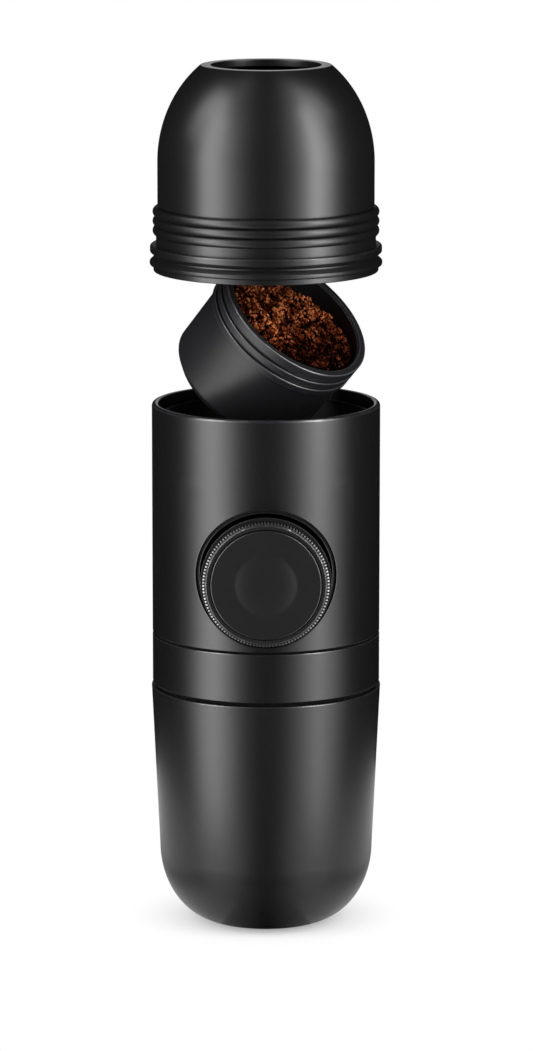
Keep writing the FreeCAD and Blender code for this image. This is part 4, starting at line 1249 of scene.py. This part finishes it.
# ---- outlet head ------------------------------------------------------------------------------
@dataclass(frozen=True)
class OutletHead:
    """Domed head with its flanges and ribs, and the ring that locks its filter plate."""

    radius: float = 28.5
    wall: float = 2.0
    dome_reach: float = 31.8
    dome_h: float = 25.4
    cylinder_h: float = 11.4
    outlet_r: float = 14.5
    rib_h: float = 2.5
    rib_out: float = 0.9
    rib_steps: int = 12
    ribs: int = 3
    undercut: tuple[float, float] = (0.35, 0.45)    # height and depth
    band_out: float = 0.4
    band_h: float = 2.5
    band_edge: float = 0.1
    flange_out: float = 2.0
    flange_edge: float = 0.5
    flange_highlight: float = 0.5
    flange_bevel: float = 1.2
    flange_bevel_h: float = 1.05
    bevel_edge: float = 0.4
    groove_out: float = 0.7
    seam: float = 0.1
    lip_h: float = 1.5
    lip_rise: float = 1.0
    lip_out: float = 1.1
    lip_edge: float = 0.15
    lip_highlight: float = 0.4
    ring_out: float = 2.1
    ring_h: float = 2.1
    ring_foot: float = 0.5
    sleeve_wall: float = 1.3
    sleeve_play: float = 0.05
    edge: float = 0.3

    def build(self) -> None:
        """Builds the dome and the lock ring in place of their nodes."""
        self.build_dome()
        self.build_ring()

    def dome_outline(self, half_r: float, half_z: float, base: float, top: float) -> list[Corner]:
        """Points of a dome from its top edge down to its base.

        Args:
            half_r: Radius at the base.
            half_z: Vertical half axis of the dome.
            base: Level of the base.
            top: Level where the dome is cut off.

        Returns:
            The points as plain corners.
        """
        start = math.degrees(math.asin((top - base) / half_z))
        return oval((0, base), half_r, half_z, start, 0, ARC_STEPS)

    def build_dome(self) -> None:
        """Builds the dome, cylinder, ribs, band and upper flange."""
        size = Extent.of("head_shell")
        plate = Extent.of("filter_plate")
        low, top = size.low.z + self.seam, size.high.z
        base = top - self.dome_h
        inner = self.radius - self.wall
        band_r = self.radius + self.band_out
        flange_r = self.radius + self.flange_out
        outside = self.dome_outline(self.radius, self.dome_reach, base, top)
        corners = [Corner(self.outlet_r, top, self.edge), Corner(outside[0].r, top, self.edge, 1.0)]
        corners += outside[2:]      # the next point would cut the outer edge's rounding short
        level = base - self.cylinder_h
        corners.append(Corner(self.radius, level))
        height, depth = self.undercut
        corners += [Corner(self.radius - depth, level), Corner(self.radius - depth, level - height)]
        level -= height
        half = self.rib_h / 2
        arc_r = (half ** 2 + self.rib_out ** 2) / (2 * self.rib_out)    # through creases and crest
        reach = math.degrees(math.asin(half / arc_r))
        for _ in range(self.ribs):
            corners += oval((band_r + self.rib_out - arc_r, level - half), arc_r, arc_r,
                            reach, -reach, self.rib_steps)
            level -= self.rib_h
        level -= self.band_h
        corners += [Corner(band_r, level, self.band_edge),
                    Corner(flange_r, level, self.flange_edge, self.flange_highlight),
                    Corner(flange_r, low + self.flange_bevel_h, self.bevel_edge),
                    Corner(flange_r - self.flange_bevel, low),
                    Corner(self.radius + self.groove_out, low),
                    Corner(self.radius + self.groove_out, size.low.z), Corner(inner, size.low.z),
                    Corner(inner, plate.high.z)]
        sleeve_r = inner - self.sleeve_wall
        step = plate.high.z + self.wall
        corners += [Corner(sleeve_r, plate.high.z), Corner(sleeve_r, step),
                    Corner(inner, step + self.sleeve_wall)]
        inside = self.dome_outline(inner, self.dome_reach - self.wall, base, top - self.wall)
        corners += inside[::-1] + [Corner(self.outlet_r, top - self.wall, self.edge)]
        shells = Shells()
        shells.turned(corners)
        seat(shells.make("head_dome", BODY_ABS), "head", BODY_ABS, "head_shell")

    def build_ring(self) -> None:
        """Builds the lock ring: lip, rounded flange and the sleeve inside the head."""
        size = Extent.of("head_lock_ring")
        plate = Extent.of("filter_plate")
        low = size.low.z + self.lip_rise
        ring_low = low + self.lip_h + self.seam
        ring_high = ring_low + self.ring_h
        shoulder = Extent.of("head_shell").low.z
        groove_r = self.radius + self.groove_out
        lip_r, ring_r = self.radius + self.lip_out, self.radius + self.ring_out
        sleeve_r = self.radius - self.wall - self.sleeve_play
        inner = sleeve_r - self.sleeve_wall
        shells = Shells()
        shells.turned([
            Corner(inner, low, self.edge), Corner(lip_r, low, self.edge),
            Corner(lip_r, low + self.lip_h, self.lip_edge, self.lip_highlight),
            Corner(groove_r, low + self.lip_h),
            Corner(groove_r, ring_low), Corner(ring_r, ring_low, self.ring_foot),
            Corner(ring_r, ring_high - self.flange_bevel_h, self.bevel_edge),
            Corner(ring_r - self.flange_bevel, ring_high), Corner(groove_r, ring_high),
            Corner(groove_r, shoulder), Corner(sleeve_r, shoulder),
            Corner(sleeve_r, plate.low.z), Corner(inner, plate.low.z)])
        seat(shells.make("head_ring", BODY_ABS), "head", BODY_ABS, "head_lock_ring")


# ---- inner parts ------------------------------------------------------------------------------
INNER_FINISHES: dict[Finish, tuple[str, ...]] = {
    BODY_ABS: ("brew_well",),
    NECK_PP: ("threaded_neck",),
    INNER_PP: ("intake_strainer", "intake_tube", "chassis", "pump_cylinder",
               "rod_bush", "piston_head", "valve_block", "inlet_seat", "delivery_tube",
               "filter_plate", "nozzle"),
    SEAL_SILICONE: ("tank_seal", "vent_valve", "rod_seal", "piston_seal", "block_gasket",
                    "basket_gasket", "head_gasket"),
    SCREEN_STEEL: ("base_screws", "bezel_screws", "cylinder_screws", "well_screws", "nozzle_screws",
                   "knob_screw", "piston_rod", "return_spring", "inlet_ball", "outlet_ball",
                   "shower_screen", "basket_filter", "head_screen"),
}


def dress_inner_parts() -> None:
    """Gives every CAD node that stays its real material."""
    for finish, nodes in INNER_FINISHES.items():
        for node in nodes:
            PALETTE.dress(frame["nodes"][node], finish)
            log.info("%s in %s", node, finish.name)


# ---- studio -----------------------------------------------------------------------------------
PANEL_LEVELS = (-240.0, -10.0, 105.0)   # panels below the head: the tank's, then the body's


@dataclass(frozen=True)
class Softbox:
    """Column of soft panels that faces the maker's axis. Azimuth counts from the camera.

    Each panel has the radiance of its cloth. The levels are the panels' edges from the lowest up.
    """

    name: str
    azimuth: float
    radiances: tuple[float, ...]
    levels: tuple[float, ...]
    width: float = 74.0
    distance: float = 350.0

    def build(self) -> None:
        """Sets up one lamp for each panel."""
        angle = math.radians(self.azimuth)
        out = Vector((math.sin(angle), -math.cos(angle), 0))
        for (low, high), radiance in zip(pairwise(self.levels), self.radiances, strict=True):
            lamp = bpy.data.lights.new(self.name, "AREA")
            lamp.shape = "RECTANGLE"
            lamp.size = self.width * MM
            lamp.size_y = (high - low) * MM
            lamp.energy = radiance * math.pi * lamp.size * lamp.size_y
            holder = bpy.data.objects.new(self.name, lamp)
            holder.location = (out * self.distance + Vector((0, 0, (low + high) / 2))) * MM
            holder.rotation_euler = (-out).to_track_quat("-Z", "Y").to_euler()
            holder.visible_camera = False
            bpy.context.scene.collection.objects.link(holder)


def velvet(tree: bpy.types.NodeTree, away: bpy.types.NodeSocket, black: float,
           clear: float) -> None:
    """Finishes a black velvet that thins out to nothing towards its edges.

    Args:
        tree: The material's node tree.
        away: How far a point is from the middle.
        black: Up to here it is black. Below zero, even its middle is thin.
        clear: From here on it is clear.
    """
    share = add(tree, "ShaderNodeMapRange", {"Value": away}, {"From Min": black, "From Max": clear},
                interpolation_type="SMOOTHSTEP")
    cloth = add(tree, "ShaderNodeBsdfDiffuse", None, {"Color": linear("#0c0c0c")})
    gauze = add(tree, "ShaderNodeBsdfTransparent")
    mixed = add(tree, "ShaderNodeMixShader",
                {0: share.outputs[0], 1: cloth.outputs[0], 2: gauze.outputs[0]})
    add(tree, "ShaderNodeOutputMaterial", {"Surface": mixed.outputs[0]})


def hang(name: str, rows: Sequence[Sequence[Vector]],
         material: bpy.types.Material) -> bpy.types.Object:
    """Hangs a black cloth where only reflections show it.

    A dark object keeps its dark middle and dark sides only where it mirrors something dark.

    Args:
        name: The cloth's name.
        rows: Rows of its points in millimetres.
        material: Its material.

    Returns:
        The cloth.
    """
    width = len(rows[0])
    faces = [(a, a + width, a + width + 1, a + 1)
             for k in range(len(rows) - 1) for a in range(k * width, (k + 1) * width - 1)]
    mesh = bpy.data.meshes.new(name)
    mesh.from_pydata([p * MM for row in rows for p in row], [], faces)
    mesh.materials.append(material)
    cloth = bpy.data.objects.new(name, mesh)
    bpy.context.scene.collection.objects.link(cloth)
    cloth.visible_camera = False
    cloth.visible_diffuse = False
    cloth.visible_shadow = False
    cloth.visible_transmission = False
    return cloth


@dataclass(frozen=True)
class Screen:
    """Black cloth bent round the maker. Angles count from its middle, the middle from the camera."""

    name: str
    middle: float
    black: float
    clear: float
    radius: float = 170.0
    low: float = -200.0
    high: float = 900.0
    facet: float = 4.0

    def build(self) -> None:
        """Stands the screen."""
        steps = int(2 * self.clear / self.facet)
        angles = [math.radians(self.clear * (2 * k / steps - 1)) for k in range(steps + 1)]
        rows = [[Vector((math.sin(a) * self.radius, -math.cos(a) * self.radius, z))
                 for z in (self.low, self.high)] for a in angles]
        material, tree = new_tree("black_velvet_screen")
        place = add(tree, "ShaderNodeTexCoord").outputs["Object"]
        axes = add(tree, "ShaderNodeSeparateXYZ", {0: place}).outputs
        front = add(tree, "ShaderNodeMath", {0: axes["Y"]}, {1: -1.0}, operation="MULTIPLY")
        angle = add(tree, "ShaderNodeMath", {0: axes["X"], 1: front.outputs[0]}, operation="ARCTAN2")
        away = add(tree, "ShaderNodeMath", {0: angle.outputs[0]}, operation="ABSOLUTE")
        velvet(tree, away.outputs[0], math.radians(self.black), math.radians(self.clear))
        hang(self.name, rows, material).rotation_euler.z = math.radians(self.middle)


@dataclass(frozen=True)
class Banner:
    """Straight black cloth, as wide to the left of its middle as to the right.

    Its path is the place along Y and the level of each of its folds.
    """

    name: str
    black: float
    clear: float
    path: tuple[tuple[float, float], ...]
    middle: float = 0.0

    def build(self) -> None:
        """Lays or hangs the banner."""
        rows = [[Vector((x, y, z)) for y, z in self.path] for x in (-self.clear, self.clear)]
        material, tree = new_tree("black_velvet_banner")
        place = add(tree, "ShaderNodeTexCoord").outputs["Object"]
        axes = add(tree, "ShaderNodeSeparateXYZ", {0: place}).outputs
        away = add(tree, "ShaderNodeMath", {0: axes["X"]}, operation="ABSOLUTE")
        velvet(tree, away.outputs[0], self.black * MM, self.clear * MM)
        hang(self.name, rows, material).location.x = self.middle * MM


@dataclass(frozen=True)
class Studio:
    """Pale floor, white surround, softboxes, black cloths and the camera."""

    floor_r: float = 142.0
    floor_steps: int = 96
    floor_back: float = 37.0
    floor_drop: float = 0.05
    shadow_near: float = 12.0
    shadow_far: float = 38.0
    bleach: float = 0.32
    ambient: float = 0.4
    cloths: tuple[Screen | Banner, ...] = (
        Screen("right_screen", 125.0, 41.0, 53.0),
        Screen("left_screen", -125.0, 41.0, 53.0),
        Banner("near_banner", -2.0, 30.0, ((-10.0, 0.5), (-45.0, 0.5))),
        Banner("left_runner", -26.0, 34.0, ((-30.0, 0.5), (80.0, 0.5)), -46.0),
        Banner("right_runner", -26.0, 34.0, ((-30.0, 0.5), (80.0, 0.5)), 46.0),
        Banner("far_banner", 9.0, 36.0, ((-45.0, 0.5), (-110.0, 0.5))),
        Banner("front_banner", 21.0, 75.0, ((-120.0, -200.0), (-120.0, 330.0))),
        Banner("top_banner", 32.0, 108.0, ((-120.0, 330.0), (-120.0, 430.0), (-105.0, 480.0),
                                           (-60.0, 515.0), (0.0, 530.0), (95.0, 525.0))),
    )
    camera_distance: float = 1317.7
    camera_pitch: float = 10.866
    camera_lens: float = 169.91
    camera_sensor: float = 36.0
    camera_shift: float = 0.00048
    camera_reach: float = 100_000.0
    look_z: float = 106.9
    softboxes: tuple[Softbox, ...] = (
        Softbox("left_front", -40.0, (2.2, 3.0, 1.6), (*PANEL_LEVELS, 380.0)),
        Softbox("left_middle", -52.0, (4.85, 5.9, 5.9), (*PANEL_LEVELS, 480.0)),
        Softbox("left_rear", -64.0, (3.4, 3.3, 6.5), (*PANEL_LEVELS, 640.0)),
        Softbox("left_high", -79.0, (2.0, 4.0), (245.0, 285.0, 400.0), 60.0, 150.0),
        Softbox("right_front", 40.0, (0.95, 1.95, 1.6), (*PANEL_LEVELS, 380.0)),
        Softbox("right_middle", 52.0, (3.6, 4.65, 9.9), (*PANEL_LEVELS, 560.0)),
        Softbox("right_rear", 64.0, (1.6, 1.7, 4.5), (*PANEL_LEVELS, 900.0)),
        Softbox("right_high", 76.0, (2.0,), (285.0, 400.0), 60.0, 150.0),
    )

    def build(self) -> None:
        """Builds everything round the maker."""
        self.build_floor()
        for cloth in self.cloths:
            cloth.build()
        self.build_world()
        for softbox in self.softboxes:
            softbox.build()
        self.build_camera()

    def seen(self, tree: bpy.types.NodeTree) -> bpy.types.NodeSocket:
        """One for the rays that see the background as it looks: camera, mirror and glass rays."""
        path = add(tree, "ShaderNodeLightPath").outputs
        mirror = add(tree, "ShaderNodeMath", {0: path["Is Camera Ray"], 1: path["Is Glossy Ray"]},
                     operation="MAXIMUM")
        both = add(tree, "ShaderNodeMath", {0: mirror.outputs[0], 1: path["Is Transmission Ray"]},
                   operation="MAXIMUM")
        return both.outputs[0]

    def build_floor(self) -> None:
        """Lays a round pale table top that keeps the soft shadow under the tank."""
        points = [Vector((self.floor_r * math.cos(a), self.floor_r * math.sin(a) + self.floor_back,
                          -self.floor_drop)) * MM for a in round_angles(self.floor_steps)[:-1]]
        mesh = bpy.data.meshes.new("floor")
        mesh.from_pydata(points, [], [tuple(range(self.floor_steps))])
        floor = bpy.data.objects.new("floor", mesh)
        bpy.context.scene.collection.objects.link(floor)
        material, tree = new_tree("white_paper")
        place = add(tree, "ShaderNodeTexCoord").outputs["Object"]
        reach = add(tree, "ShaderNodeVectorMath", {0: place}, operation="LENGTH")
        bleach = add(tree, "ShaderNodeMapRange", {"Value": reach.outputs["Value"]},
                     {"From Min": self.shadow_near * MM, "From Max": self.shadow_far * MM,
                      "To Min": self.bleach, "To Max": 1.0}, interpolation_type="SMOOTHSTEP")
        share = add(tree, "ShaderNodeMath", {0: bleach.outputs[0], 1: self.seen(tree)},
                    operation="MULTIPLY")
        paper = add(tree, "ShaderNodeBsdfDiffuse", None, {"Color": linear("#f4f4f4")})
        white = add(tree, "ShaderNodeEmission", None, {"Color": linear("#ffffff"), "Strength": 1.0})
        mixed = add(tree, "ShaderNodeMixShader",
                    {0: share.outputs[0], 1: paper.outputs[0], 2: white.outputs[0]})
        add(tree, "ShaderNodeOutputMaterial", {"Surface": mixed.outputs[0]})
        mesh.materials.append(material)

    def build_world(self) -> None:
        """Sets a white surround that lights the maker only softly."""
        world = bpy.data.worlds.new("white_studio")
        world.use_nodes = True
        tree = world.node_tree
        tree.nodes.clear()
        level = add(tree, "ShaderNodeMapRange", {"Value": self.seen(tree)},
                    {"To Min": self.ambient, "To Max": 1.0})
        light = add(tree, "ShaderNodeBackground", {"Strength": level.outputs[0]},
                    {"Color": linear("#ffffff")})
        add(tree, "ShaderNodeOutputWorld", {"Surface": light.outputs[0]})
        bpy.context.scene.world = world

    def build_camera(self) -> None:
        """Places the camera and makes it the scene's camera."""
        data = bpy.data.cameras.new("camera")
        data.lens = self.camera_lens
        data.sensor_width = self.camera_sensor
        data.shift_x = self.camera_shift
        data.clip_end = self.camera_reach * MM
        camera = bpy.data.objects.new("camera", data)
        pitch = math.radians(self.camera_pitch)
        camera.location = Vector((0, -self.camera_distance * math.cos(pitch),
                                  self.look_z + self.camera_distance * math.sin(pitch))) * MM
        camera.rotation_euler = (math.pi / 2 - pitch, 0, 0)
        bpy.context.scene.collection.objects.link(camera)
        bpy.context.scene.camera = camera
        bpy.context.scene.view_settings.view_transform = "Standard"


def main() -> None:
    """Builds each sub-assembly in order, from the floor up, and then the studio."""
    logging.basicConfig(level=logging.INFO, format="%(message)s")
    dress_inner_parts()
    WaterTank().build()
    Body().build()
    knob = Knob()
    knob.build()
    Bezel().build(knob.place)
    basket = Basket()
    basket.build()
    CoffeeHeap().build(basket)
    OutletHead().build()
    Studio().build()


if __name__ == "__main__":
    main()
